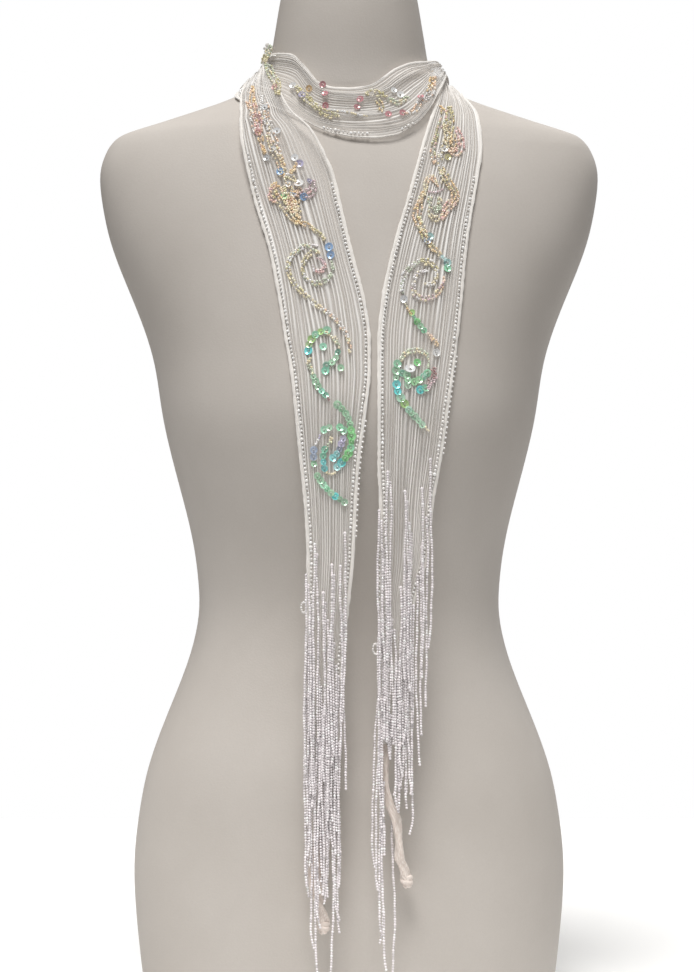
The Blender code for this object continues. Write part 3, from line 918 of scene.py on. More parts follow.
# %% Thin cloth
def cloth(stretch):
    """A closed, thin sheet on its solid's form, with its pleats and creases."""
    columns = PLEATS * PLEAT_COLUMNS
    run = stretch["runs"][:, None]
    across = np.interp(np.linspace(0, PLEATS, columns + 1), pleat_numbers, pleat_starts)[None, :]
    place = place_of(stretch, run)
    ridge = crinkle(place, across) * calmed(stretch["name"], run, across)
    middle = cloth_lift(stretch, run, across) + CRINKLE * (ridge - RIDGE_MEAN)
    outside = wall_grid(stretch["track"], run, across, middle + CHIFFON / 2)
    inside = wall_grid(stretch["track"], run, across, middle - CHIFFON / 2)
    rows = len(run) - 1
    count = (rows + 1) * (columns + 1)
    out_index = np.arange(count).reshape(rows + 1, columns + 1)
    turned = stretch["backwards"]
    faces = [grid_faces(rows, columns, 0, turned), grid_faces(rows, columns, count, not turned)]
    rim = np.concatenate(
        [out_index[0, :-1], out_index[:-1, -1], out_index[-1, :0:-1], out_index[:0:-1, 0]]
    )
    beside = np.roll(rim, -1)
    wall = np.stack([rim, rim + count, beside + count, beside], 1)
    faces.append(wall[:, ::-1] if turned else wall)
    uv = np.stack(np.broadcast_arrays(across, place + 0 * across), -1)
    piece = from_arrays(
        stretch["name"] + "_cloth",
        np.concatenate([outside.reshape(-1, 3), inside.reshape(-1, 3)]),
        np.concatenate(faces),
        uv=np.concatenate([uv.reshape(-1, 2)] * 2),
        ridge=np.concatenate([ridge.ravel()] * 2),
    )
    return seated(piece, chiffon, (stretch["name"],))


for stretch in stretches.values():
    stretch["cloth"] = cloth(stretch)
    print(stretch["cloth"].name, len(stretch["cloth"].data.polygons), "faces")

# %% [markdown]
# ## Places on the cloth
# Beads and sequins are sewn on, so each one needs a point on the cloth and the cloth's normal there. A
# coarse grid on the tops of the pleats gives both. A place is given by run and across, or on the front by x
# and height as seen from in front.


# %% The ground that beads are sewn to
SEWN_LIFT = CHIFFON / 2 + 0.55 * CRINKLE  # from the cloth's middle to what is sewn on


def ground(stretch, run, across, lift=0.0):
    """Points on the tops of the pleats, and their normals."""
    run, across = np.broadcast_arrays(np.asarray(run, float), np.asarray(across, float))
    height = cloth_lift(stretch, run, across) + SEWN_LIFT
    point = wall_grid(stretch["track"], run, across, height)
    above = wall_grid(stretch["track"], run, across, height + 1.0)
    normal = above - point
    normal /= np.linalg.norm(normal, axis=-1, keepdims=True)
    return point + normal * lift, normal


def from_front(stretch, flat, lift=0.0):
    """Points and normals at places given by x and height, as seen from in front."""
    if "seen" not in stretch:
        fine, across = np.meshgrid(np.linspace(0, 1, 241), np.linspace(0, 1, 61), indexing="ij")
        points, _ = ground(stretch, fine, across)
        stretch["seen"] = fine.ravel(), across.ravel(), points[..., (0, 2)].reshape(-1, 2)
    fine, across, seen_points = stretch["seen"]
    nearest = ((flat[:, None] - seen_points[None]) ** 2).sum(2).argmin(1)
    point, normal = ground(stretch, fine[nearest], across[nearest])
    off = flat - point[:, (0, 2)]
    point[:, 0] += off[:, 0]
    point[:, 2] += off[:, 1]
    point[:, 1] -= (off[:, 0] * normal[:, 0] + off[:, 1] * normal[:, 2]) / normal[:, 1]
    return point + normal * lift, normal


def along_strip(stretch, flat, lift=0.0):
    """Points and normals at places given by the run and the share across, in hundredths."""
    return ground(stretch, flat[:, 0] / 100, flat[:, 1] / 100, lift)


# %% [markdown]
# ## One bead and one sequin
# A seed bead is a small ball, a little flatter towards the cloth. A sequin is a thin cup with a hole in its
# middle. Each is modelled once, by hand, and then copied to hundreds of places, so both have few faces.

# %% Seed bead
BEAD = 1.0  # diameter of the bead that is copied
BEAD_TALL = 0.92  # and its height off the cloth
along_x = (0, math.pi / 2, 0)
bead_model = added(
    bpy.ops.mesh.primitive_uv_sphere_add, segments=6, ring_count=4, radius=BEAD / 2, rotation=along_x
)
bpy.ops.object.mode_set(mode="EDIT")
bpy.ops.mesh.select_all(action="SELECT")
bpy.ops.transform.resize(value=(1.0, 1.0, BEAD_TALL))
bpy.ops.mesh.quads_convert_to_tris()
bpy.ops.object.mode_set(mode="OBJECT")
bpy.ops.object.transform_apply(location=True, rotation=True, scale=True)
print("a bead has", len(bead_model.data.polygons), "faces")

# %% Sequin
SEQUIN_RADIUS = 0.54
SEQUIN_CUP = 0.12  # depth of the cup
SEQUIN_THICK = 0.035
SEQUIN_BEND = 0.6  # share of the diameter where the steeper rim ends
SEQUIN_RIM = 0.8  # share of the depth that the rim takes
SEQUIN_HOLE = 0.36  # share of the diameter
sequin_model = added(
    bpy.ops.mesh.primitive_circle_add, vertices=12, radius=SEQUIN_RADIUS, fill_type="NOTHING"
)
bpy.ops.object.mode_set(mode="EDIT")
bpy.ops.mesh.select_all(action="SELECT")
bpy.ops.mesh.extrude_region_move(TRANSFORM_OT_translate={"value": (0, 0, -SEQUIN_CUP * SEQUIN_RIM)})
bpy.ops.transform.resize(value=(SEQUIN_BEND, SEQUIN_BEND, 1.0))
bpy.ops.mesh.extrude_region_move(TRANSFORM_OT_translate={"value": (0, 0, -SEQUIN_CUP * (1 - SEQUIN_RIM))})
bpy.ops.transform.resize(value=(SEQUIN_HOLE / SEQUIN_BEND, SEQUIN_HOLE / SEQUIN_BEND, 1.0))
bpy.ops.mesh.select_all(action="SELECT")
bpy.ops.mesh.normals_make_consistent(inside=False)
bpy.ops.object.mode_set(mode="OBJECT")
thickness = sequin_model.modifiers.new("thickness", "SOLIDIFY")
thickness.thickness = SEQUIN_THICK
thickness.offset = 0
bpy.ops.object.modifier_apply(modifier="thickness")
bpy.ops.object.mode_set(mode="EDIT")
bpy.ops.mesh.select_all(action="SELECT")
bpy.ops.mesh.normals_make_consistent(inside=False)
bpy.ops.mesh.quads_convert_to_tris()
bpy.ops.object.mode_set(mode="OBJECT")
print("a sequin has", len(sequin_model.data.polygons), "faces")


# %% Copies of a model
def model_arrays(model):
    """The model's points and triangles."""
    points = np.zeros(len(model.data.vertices) * 3, np.float32)
    model.data.vertices.foreach_get("co", points)
    faces = np.array([tuple(face.vertices) for face in model.data.polygons], np.int32)
    return points.reshape(-1, 3).astype(float), faces


# points, triangles and finish of each kind of copy
KINDS = {
    "beads": (*model_arrays(bead_model), bead_glass),
    "sequins": (*model_arrays(sequin_model), sequin_film),
}
for model in (bead_model, sequin_model):
    bpy.data.objects.remove(model)


def unit(vectors):
    """The same directions with length 1."""
    return vectors / np.maximum(np.linalg.norm(vectors, axis=-1, keepdims=True), 1e-9)


def copies(name, kind, places, along, normals, sizes, tints, replaced=()):
    """One mesh of many copies. Along is each copy's own x, and its z is near the normal."""
    points, faces, material = KINDS[kind]
    along = unit(along)
    side = unit(np.cross(normals, along))
    up = np.cross(along, side)
    turn = np.stack([along, side, up], 1)
    everywhere = places[:, None] + np.einsum("vi,nij->nvj", points, turn) * sizes[:, None, None]
    offsets = np.arange(len(places))[:, None, None] * len(points)
    colours = np.repeat(np.concatenate([tints, np.ones((len(places), 1))], 1), len(points), 0)
    piece = from_arrays(name, everywhere, (faces[None] + offsets).reshape(-1, 3), tint=colours)
    print(name, len(places), "copies")
    return seated(piece, material, replaced)


# %% [markdown]
# ## Hems and edge beads
# Both long edges are rolled into a narrow hem, which reads as a pale line. A row of seed beads is sewn
# just inside it where the edge shows. Along a few short runs small beads stand out past the hem like
# teeth, and at two places a little ring of beads hangs off the edge on loose thread.


# %% Tubes
def ring_faces(count, sides):
    """Triangles between rings of points and over both ends, whose middles are the last two points."""
    row, column = np.mgrid[0 : count - 1, 0:sides]
    here = (row * sides + column).ravel()
    beside = (row * sides + (column + 1) % sides).ravel()
    first = np.arange(sides)
    first_beside = (first + 1) % sides
    down = (count - 1) * sides
    triangles = (
        (here, here + sides, beside + sides),
        (here, beside + sides, beside),
        (np.full(sides, count * sides), first, first_beside),
        (np.full(sides, count * sides + 1), down + first_beside, down + first),
    )
    return np.concatenate([np.stack(corners, 1) for corners in triangles])


def ring_uv(along, sides):
    """The UV map of such rings. It runs round them, and along them by a value for each ring."""
    uv = np.stack([np.tile(np.arange(sides) / sides, len(along)), np.repeat(along, sides)], 1)
    return np.concatenate([uv, uv[:1], uv[-1:]])


def tube(centre, side, normal, half_side, half_normal, sides):
    """Rings of points round a line, and the faces between them, with closed ends."""
    around = np.arange(sides) * math.tau / sides
    ring = (
        centre[:, None]
        + side[:, None] * (np.cos(around)[None, :, None] * half_side[:, None, None])
        + normal[:, None] * (np.sin(around)[None, :, None] * half_normal[:, None, None])
    )
    points = np.concatenate([ring.reshape(-1, 3), centre[:1], centre[-1:]])
    return points, ring_faces(len(centre), sides)


# %% Hems
HEM_SIDES = 8
HEM_INSET = 0.42  # from the edge to the hem's middle, as a share of the hem's width
HEM_WOBBLE = 0.12  # how uneven a hem is, in mm of height and as a share of its size
# where less of a hem shows: two runs, and the share of its size at them and past them
HEM_SHOWS = {
    ("front_loop", 1): ((0, 1), (0.55, 0.55)),
    ("left_tail", 0): ((0.08, 0.34), (0.35, 1.0)),
}


def hem(stretch):
    """The rolled hems of a stretch's two edges, in one piece."""
    random = np.random.default_rng(len(stretch["name"]) * 7 + 1)
    track, run = stretch["track"], stretch["runs"]
    width = width_of(track, run)
    tubes, faces = [], []
    for edge, inwards in ((0.0, 1.0), (1.0, -1.0)):
        inset = edge + inwards * HEM_INSET * HEM / width
        lift = cloth_lift(stretch, run, inset) + HEM_WOBBLE * random.standard_normal(len(run))
        centre = wall_grid(track, run, inset, lift)
        further = wall_grid(track, run, inset + inwards * 0.01, lift)
        side = unit(further - centre) * inwards
        normal = unit(wall_grid(track, run, inset, lift + 1.0) - centre)
        shows = np.interp(run, *HEM_SHOWS.get((stretch["name"], edge), ((0, 1), (1, 1))))
        size = shows * (1 + HEM_WOBBLE * random.standard_normal(len(run)))
        points, around = tube(centre, side, normal, HEM / 2 * size, HEM_THICK / 2 * size, HEM_SIDES)
        faces.append(around + len(points) * len(tubes))
        tubes.append(points)
    faces = np.concatenate(faces)
    piece = from_arrays(
        stretch["name"] + "_hem",
        np.concatenate(tubes),
        faces[:, ::-1] if stretch["backwards"] else faces,
        uv=np.concatenate([ring_uv(place_of(stretch, run), HEM_SIDES)] * 2),
    )
    return seated(piece, hem_chiffon)


for stretch in stretches.values():
    stretch["with"] = [hem(stretch)]

# %% Colours of beads and sequins
CLEAR = (0.85, 0.80, 0.825)
PEARL = (0.95, 0.93, 0.91)
WHITE = (0.97, 0.98, 1.0)
LILAC = (0.60, 0.56, 0.80)
BLUE = (0.34, 0.58, 0.95)
CYAN = (0.14, 0.93, 0.93)
AQUA = (0.55, 0.93, 0.91)
TEAL = (0.26, 0.70, 0.50)
MINT = (0.40, 0.95, 0.60)
GREEN = (0.36, 0.98, 0.38)
LIME = (0.60, 0.97, 0.32)
SAGE = (0.48, 0.84, 0.55)
MOSS = (0.60, 0.69, 0.50)
SKY_BLUE = (0.58, 0.70, 0.92)
OLIVE = (0.64, 0.58, 0.28)
PALE_GOLD = (0.88, 0.76, 0.48)
GOLD = (0.88, 0.61, 0.29)
PEACH = (0.96, 0.65, 0.45)
PINK = (0.90, 0.52, 0.50)
ROSE = (0.70, 0.27, 0.31)
MAUVE = (0.66, 0.47, 0.51)
MAROON = (0.30, 0.10, 0.10)


def toned(random, tints, spread=0.12):
    """Each copy a little lighter or darker than its colour."""
    tints = np.asarray(tints, float).reshape(-1, 3)
    return np.clip(tints * (1 + spread * random.standard_normal((len(tints), 1))), 0.02, 1.0)


# %% Edge beads
EDGE_INSET = 3.5  # from the edge to the running line of beads
EDGE_PITCH = 3.0
EDGE_BEAD = 2.0
EDGE_LIFT = 0.2  # from the tops of the pleats to the middles of the beads
EDGE_UNEVEN = 0.16  # in size
EDGE_JITTER = 0.15  # in place
ALL_ALONG = ((0.004, 0.996),)
# where the running line shows, by stretch and edge, from run to run
EDGE_RUNS = {
    ("front_loop", 0): (),
    ("front_loop", 1): ((0.23, 0.47), (0.60, 0.67)),
    ("left_tail", 0): ((0.33, 0.99),),
    ("left_tail", 1): ((0.26, 0.99),),
    ("right_tail", 0): ((0.22, 0.99),),
    ("right_tail", 1): ((0.27, 0.99),),
}
PICOT_PITCH = 3.8
PICOT_BEAD = 1.6
PICOT_OUT = 0.7  # from the edge to the middle of the bead
PICOT_RUNS = {
    ("left_tail", 0): (0.59, 0.71),
    ("right_tail", 0): (0.725, 0.80),
    ("right_tail", 1): (0.535, 0.625),
}
STRAY_LOOPS = {("left_tail", 1): (0.779, 2.0), ("right_tail", 0): (0.862, 3.7)}  # its run, how far out
STRAY_WIDE = 1.9
STRAY_LONG = 3.8
STRAY_BEADS = 12
STRAY_BEAD = 1.7
UNDER_TOPS = -0.4  # past the edge, beads lie a little below the tops of the pleats


def paced(points, pitch):
    """Places along a line of points, a pitch apart, as fractions of its points' numbers."""
    steps = np.linalg.norm(np.diff(points, axis=0), axis=1)
    along = np.concatenate([[0], np.cumsum(steps)])
    wanted = np.arange(pitch / 2, along[-1], pitch)
    return np.interp(wanted, along, np.arange(len(points)))


def strung(points, pitch):
    """Places along a line of points, a pitch apart: where, the way on, and each one's number there."""
    at = paced(points, pitch)
    index = np.minimum(at.astype(int), len(points) - 2)
    way = points[index + 1] - points[index]
    return points[index] + way * (at - index)[:, None], way, at, index


def bead_line(stretch, edge, first, last, random):
    """A running line of beads just inside an edge: places, ways, normals and sizes."""
    run = np.linspace(first, last, 400)
    inwards = 1 - 2 * edge
    across = edge + inwards * EDGE_INSET / width_of(stretch["track"], run)
    line, normal = ground(stretch, run, across, EDGE_LIFT)
    place, way, _, index = strung(line, EDGE_PITCH)
    sizes = EDGE_BEAD * (1 + EDGE_UNEVEN * random.standard_normal(len(place)))
    place = place + EDGE_JITTER * random.standard_normal(place.shape)
    return place, way, normal[index], sizes


def edge_line(stretch, edge, run):
    """Points of an edge, the ways out past it, and the normals."""
    line, normal = ground(stretch, run, edge, UNDER_TOPS)
    inner, _ = ground(stretch, run, abs(edge - 0.02), UNDER_TOPS)
    return line, unit(line - inner), normal


def picots(stretch, edge, first, last):
    """Beads that stand out past an edge like teeth."""
    line, outwards, normal = edge_line(stretch, edge, np.linspace(first, last, 300))
    at = paced(line, PICOT_PITCH).astype(int)
    return line[at] + outwards[at] * PICOT_OUT, outwards[at], normal[at], np.full(len(at), PICOT_BEAD)


def stray_loop(stretch, edge, run, reach):
    """A ring of beads whose thread has come loose at an edge."""
    line, outwards, normal = edge_line(stretch, edge, np.array([run, run + 0.01]))
    down = unit(line[1] - line[0])
    around = np.linspace(0, math.tau, STRAY_BEADS + 1)[:-1, None]
    ring = outwards[0] * (reach + STRAY_WIDE * np.cos(around)) + down * STRAY_LONG * np.sin(around)
    ways = down * np.cos(around) - outwards[0] * np.sin(around)
    return line[0] + ring, ways, np.broadcast_to(normal[0], ring.shape), np.full(STRAY_BEADS, STRAY_BEAD)


def edge_beads(stretch, random):
    """The running lines inside both hems, the picots and the stray loops, in one piece."""
    parts = []
    for edge in (0, 1):
        key = (stretch["name"], edge)
        for first, last in EDGE_RUNS.get(key, ALL_ALONG):
            parts.append(bead_line(stretch, edge, first, last, random))
        if key in PICOT_RUNS:
            parts.append(picots(stretch, edge, *PICOT_RUNS[key]))
        if key in STRAY_LOOPS:
            parts.append(stray_loop(stretch, edge, *STRAY_LOOPS[key]))
    places, ways, normals, sizes = (np.concatenate(part) for part in zip(*parts))
    tints = toned(random, np.broadcast_to(PEARL, (len(places), 3)))
    return copies(stretch["name"] + "_edge_beads", "beads", places, ways, normals, sizes, tints)


edge_random = np.random.default_rng(21)
for stretch in stretches.values():
    stretch["with"].append(edge_beads(stretch, edge_random))

# %% [markdown]
# ## Scrolls of sequins and beads
# The embroidery is a vine of scrolls. A scroll is a spiral that shrinks as it turns, so it needs only a
# centre, two radii, a start and a number of turns. Stems are smooth curves through a few points. Every line
# is then filled with beads or sequins a pitch apart, in the colours of its part of the scarf. The rows
# below are in the order in which they are sewn.


# %% Scrolls and stems
def scroll(x, height, wide, high, start, turns, shrink):
    """A spiral seen from in front, from its outer end inwards. Start is in degrees, 0 to the right."""
    share = np.linspace(0, 1, 120)
    angle = math.radians(start) + math.tau * turns * share
    size = 1 - (1 - shrink) * share
    return np.stack([x + wide * size * np.cos(angle), height + high * size * np.sin(angle)], 1)


def stem(*points):
    """A smooth line through a few points, seen from in front."""
    points = np.array(points, float)
    ends = np.vstack([2 * points[0] - points[1], points, 2 * points[-1] - points[-2]])
    parts = []
    for i in range(len(points) - 1):
        before, here, after, beyond = ends[i : i + 4]
        t = np.linspace(0, 1, 24, endpoint=i == len(points) - 2)[:, None]
        slope_here, slope_after = (after - before) / 2, (beyond - here) / 2
        parts.append(
            (2 * t**3 - 3 * t**2 + 1) * here
            + (t**3 - 2 * t**2 + t) * slope_here
            + (3 * t**2 - 2 * t**3) * after
            + (t**3 - t**2) * slope_after
        )
    return np.concatenate(parts)


# %% Embroidery
TINT_WANDER = 0.9  # how far from its own place in the row of colours a copy picks its colour
TINT_PALING = 0.35  # share of white in the palest copies
TINT_SPREAD = 0.15  # how much lighter or darker the copies are
SIZE_SPREAD = 0.09
LINE_BEAD = 1.8
LINE_PITCH = 1.75
BEAD_LIFT = 0.5  # from the tops of the pleats to the middle of a bead
SEQUIN_LIFT = 0.8  # and to a sequin in a line
SINGLE_LIFT = 1.0  # and to one that stands alone
LINE_JITTER = 0.25  # how far a bead lies off its line
BAND_ROW = 2.1  # from one row of a band to the next
BAND_KEPT = 0.86  # share of a band's beads that isn't left out
HOLDER = 1.5  # diameter of the bead in the middle of a sequin
HOLDER_LIFT = 0.25
HOLDER_SHADE = 0.6  # its colour, as a share of the sequin's
LEANS = {"beads": 0.03, "sequins": 0.24}  # how far the copies lean from the cloth's normal
CATCHES_LIGHT = (-0.14, -0.25, 0.7)  # a tilt that throws the key lamp's light to the front


class Embroidery:
    """The beads and sequins of one stretch, each with its place, way, normal, size and colour."""

    def __init__(self, stretch, seed, seen=from_front):
        self.stretch = stretch
        self.seen = seen
        self.random = np.random.default_rng(seed)
        self.sewn = {"beads": [], "sequins": []}

    def along(self, path, pitch, size, tints, lift):
        """Places a pitch apart along a line. Tints run along it, and each place picks one near it."""
        points, normals = self.seen(self.stretch, path, lift)
        place, way, at, index = strung(points, pitch)
        wander = at / len(path) * len(tints) + TINT_WANDER * self.random.standard_normal(len(at))
        picked = np.array(tints)[np.clip(wander.astype(int), 0, len(tints) - 1)]
        paling = TINT_PALING * self.random.random((len(at), 1)) ** 2
        picked = picked + (np.array(WHITE) - picked) * paling
        sizes = size * (1 + SIZE_SPREAD * self.random.standard_normal(len(at)))
        return place, way, normals[index], sizes, toned(self.random, picked, TINT_SPREAD)

    def beads(self, path, tints, kept=1.0):
        """A line of beads, none quite in line with the next. Kept is the share that isn't left out."""
        line = self.along(path, LINE_PITCH, LINE_BEAD, tints, BEAD_LIFT)
        stays = self.random.random(len(line[0])) < kept
        place, *rest = (part[stays] for part in line)
        place += LINE_JITTER * self.random.standard_normal(place.shape)
        self.sewn["beads"].append((place, *rest))

    def band(self, path, wide, tints):
        """Rows of beads side by side, widest in the middle, as in a leaf or a thick stem."""
        way = unit(np.gradient(path, axis=0))
        side = np.stack([-way[:, 1], way[:, 0]], 1)
        share_along = np.linspace(0, 1, len(path))
        bulge = np.sin(math.pi * (0.06 + 0.88 * share_along)) ** 0.7
        for share in np.linspace(-0.5, 0.5, max(2, round(wide / BAND_ROW) + 1)):
            waver = 0.6 * np.sin(self.random.uniform(6, 14) * share_along + self.random.uniform(0, 6))
            self.beads(path + side * (share * wide * bulge + waver)[:, None], tints, BAND_KEPT)

    def held(self, place, way, normal, sizes, shades):
        """Sequins, each held by a bead in its middle."""
        self.sewn["sequins"].append((place, way, normal, sizes, shades))
        above = place + HOLDER_LIFT * unit(normal)
        holders = np.full(len(place), HOLDER)
        self.sewn["beads"].append((above, way, normal, holders, HOLDER_SHADE * shades))

    def sequins(self, path, tints, size, pitch):
        """A line of sequins."""
        self.held(*self.along(path, pitch, size, tints, SEQUIN_LIFT))

    def vine(self, *rows):
        """A stem for each row: how it is filled, its colours and its points.

        How is a band's width, 0 for a single line of beads, or a sequin's size and pitch.
        """
        for how, tints, *points in rows:
            if isinstance(how, tuple):
                self.sequins(stem(*points), tints, *how)
            elif how:
                self.band(stem(*points), how, tints)
            else:
                self.beads(stem(*points), tints)

    def singles(self, *rows):
        """A lone sequin for each row: x, height, colour, size and, for some, a tilt off the cloth."""
        for x, height, tint, size, *tilt in rows:
            place, normal = self.seen(self.stretch, np.array([[x, height]], float), SINGLE_LIFT)
            for other_way in tilt:
                normal = 4 * unit(normal + other_way)  # so long that it hardly leans any more
            way = np.cross(normal, self.random.standard_normal((1, 3)))
            self.held(place, way, normal, np.array([size]), toned(self.random, [tint]))

    def pieces(self):
        """The sewn beads and the sewn sequins, as two pieces."""
        made = []
        for kind, lean in LEANS.items():
            place, way, normal, *rest = (np.concatenate(part) for part in zip(*self.sewn[kind]))
            normal = unit(normal + lean * self.random.standard_normal(normal.shape))
            made.append(copies(f"{self.stretch['name']}_{kind}", kind, place, way, normal, *rest))
        return made


# %% Left end: stems and leaves
left = Embroidery(stretches["left_tail"], 31)
left.vine(
    (4, (MOSS, PALE_GOLD, OLIVE), (-60.5, 740), (-61.5, 733), (-64, 726)),
    (4.5, (GOLD, PEACH, PINK, PEACH, GOLD),
     (-73, 703), (-72, 690), (-68.5, 676), (-66.5, 660), (-62, 647)),
    (2.2, (PEARL, PALE_GOLD, PEARL, PEACH), (-66, 694), (-62, 671), (-55, 658), (-49, 643)),
    (2.6, (PEACH, PEARL), (-61, 688), (-61.4, 679), (-58, 669)),
    (5, (MOSS, OLIVE, PALE_GOLD, OLIVE), (-64, 724), (-58, 713), (-54, 702), (-53, 694)),
    (3, (PALE_GOLD, PEACH, PALE_GOLD), (-60, 664), (-57, 650), (-52, 640), (-50, 630)),
    (2.4, (GOLD, PALE_GOLD, GOLD), (-52, 648), (-48, 635), (-43, 621), (-40, 616)),
    (2.6, (PEARL, PALE_GOLD, PEACH), (-47, 632), (-41, 627), (-35, 618)),
    (2.6, (PEACH, PEARL), (-76, 690), (-72, 676), (-70, 664)),
    (1.8, (GOLD,), (-38.5, 640), (-43, 632)),
    (3, (MAUVE, PINK, MAUVE), (-26, 627), (-29, 619), (-37, 617)),
    (0, (MAUVE,), (-24, 622), (-26, 616), (-32, 613)),
    (2.0, (PINK, PEACH), (-57.5, 621), (-58.5, 615), (-54, 610)),
    (9, (GOLD, PEACH, OLIVE, PALE_GOLD, GOLD), (-56, 625), (-48, 610), (-36, 594)),
    (4, (PEACH, PALE_GOLD), (-44, 617), (-42, 607), (-36, 599)),
    (6, (PALE_GOLD, GOLD, PEACH, PALE_GOLD), (-50, 622), (-44, 612), (-38, 602)),
    (3.6, (PEACH, GOLD, PALE_GOLD), (-38, 619), (-39, 610), (-36, 602)),
    (2, (GOLD, PALE_GOLD, OLIVE), (-37, 595), (-30, 592.5), (-23, 587), (-17.5, 581.5)),
)

# %% Left end: the large scroll
left.vine(
    (2.2, (MOSS, PEARL, PALE_GOLD, OLIVE, PALE_GOLD, PEARL, PEACH, PALE_GOLD),
     (-23, 572), (-32, 577), (-43, 567), (-42, 552), (-29, 536.5), (-8, 520), (0.5, 505), (1, 497)),
)
left.band(scroll(-24, 561, 11.5, 13.5, 20, -0.85, 0.8), 2.2, [MOSS, PEARL, OLIVE, PALE_GOLD])
left.band(scroll(-23, 562, 5, 6, 100, -0.8, 0.7), 1.6, [MAUVE, PINK, CLEAR])
left.band(scroll(-27, 562, 16.5, 15.5, 75, 0.3, 1.0), 1.8, [CLEAR, MOSS])

# %% Left end: sequin scrolls
left.vine(
    ((5.4, 4.5), (MINT, GREEN, LIME, CYAN), (-14, 514.5), (-22.7, 512), (-28.5, 505), (-29.7, 496)),
    (1.8, (PALE_GOLD, MOSS), (-18, 513), (-9.6, 507), (-8, 501)),
    ((4.8, 4.5), (SAGE, TEAL), (-7.5, 500), (-10.5, 492), (-17.4, 487), (-15.5, 481)),
    (1.6, (PALE_GOLD, MOSS), (-29.4, 494), (-28.5, 487), (-26, 481)),
    ((4.8, 4.2), (SAGE, SAGE, TEAL), (-26.5, 482), (-22, 472.5), (-16, 465.5)),
    (0, (MAROON,), (-16, 465), (-13, 462.5)),
    ((5.4, 4.3), (CYAN, SAGE, SAGE, MINT, GREEN, GREEN, GREEN, MINT, CYAN),
     (-9.8, 461), (-1.5, 452), (1.5, 441), (1.3, 429), (-3, 420.5), (-10, 413.5)),
    ((5.0, 3.6), (MINT,), (-8, 444.5), (-3, 440.5)),
    ((4.8, 4.0), (SKY_BLUE, LILAC, CYAN, CYAN, WHITE),
     (-3.6, 437), (-5.4, 432), (-8.5, 424.5), (-14.5, 419)),
    ((5.0, 4.0), (SAGE, MINT, WHITE), (-12.5, 444), (-20.5, 440.5)),
    (0, (LILAC, CLEAR), (-20.5, 438), (-24, 431)),
    ((4.8, 5.0), (SKY_BLUE, LILAC, SAGE), (-25.2, 429.5), (-25.6, 422), (-25, 414)),
    ((5.0, 4.0), (SAGE, SAGE, MINT, CYAN, SAGE, SAGE, MINT),
     (-24, 410), (-16, 399), (-9, 393), (0, 387.5)),
    ((4.8, 4.6), (TEAL, SAGE, CYAN), (-17, 429.5), (-18.7, 422), (-17.6, 413.5)),
    (1.8, (PALE_GOLD, MOSS), (-13, 436.6), (-14, 431), (-17, 427)),
    (0, (PALE_GOLD,), (-17, 411), (-13, 409.5), (-9, 411.5)),
)

# %% Left end: single sequins
left.singles(
    (-68.3, 675.5, PINK, 5.0),
    (-67.4, 664, PINK, 4.8),
    (-56.1, 701, PINK, 4.8),
    (-53.6, 665, WHITE, 5.2),
    (-57.3, 651, WHITE, 5.4),
    (-40.2, 644, WHITE, 5.4),
    (-36.4, 639.5, LILAC, 5.4),
    (-51, 633.5, BLUE, 5.4),
    (-33.4, 614, BLUE, 5.4),
    (-41, 616.5, SKY_BLUE, 4.8),
    (-45, 624, WHITE, 4.6),
    (-61, 644, WHITE, 4.6),
    (-29, 626, LILAC, 4.6),
    (-63, 684, WHITE, 4.4),
    (-47.6, 615, GREEN, 5.0),
    (-14.7, 576, BLUE, 5.8),
    (-13.5, 570, BLUE, 5.6),
    (-18.7, 502, MINT, 5.2),
    (-6, 486.4, SAGE, 4.8),
    (-37.2, 624.7, WHITE, 7.0, CATCHES_LIGHT),
)
stretches["left_tail"]["with"] += left.pieces()

# %% Right end: stems and leaves
right = Embroidery(stretches["right_tail"], 32)
right.vine(
    (3, (GOLD, PINK, OLIVE, MOSS, PEACH, PEACH),
     (69, 688), (71.2, 680), (66.9, 667), (62, 653), (62.6, 644), (65, 640)),
    (2.4, (PALE_GOLD, PEARL, PALE_GOLD), (72, 672), (72, 661), (68.4, 648), (68.2, 634), (69.1, 625)),
    (5, (OLIVE, GOLD, PALE_GOLD), (76.5, 687), (75.3, 668), (73, 652)),
    (4.6, (PINK, PEACH, PEACH), (80.5, 670), (84, 660), (80.5, 650), (73, 651)),
    (3, (PALE_GOLD, GOLD), (77.5, 664), (78.5, 659), (77.5, 652)),
    (5, (OLIVE, GOLD, PEACH), (69, 636), (73, 627), (78.5, 617), (76.4, 609)),
    (5.5, (PEACH, PINK, PEACH), (79, 610), (74, 608), (68, 597)),
    (2.2, (PALE_GOLD, PEACH), (56, 615), (57, 625), (62, 630), (66, 622)),
    (5.2, (GOLD, PEACH, GOLD, PALE_GOLD), (54.8, 619), (50.8, 604), (51.5, 595), (57, 585)),
    (0, (MAUVE,), (58, 618), (63.3, 618), (68.5, 620)),
    (2, (MOSS, PALE_GOLD), (59.7, 615), (59.5, 601)),
    (2, (MOSS,), (64, 609), (64, 602)),
    (2, (PALE_GOLD, MOSS), (66.7, 615), (66.3, 604)),
    (2.4, (PALE_GOLD,), (58, 601.5), (63.3, 598), (68, 600.5)),
)

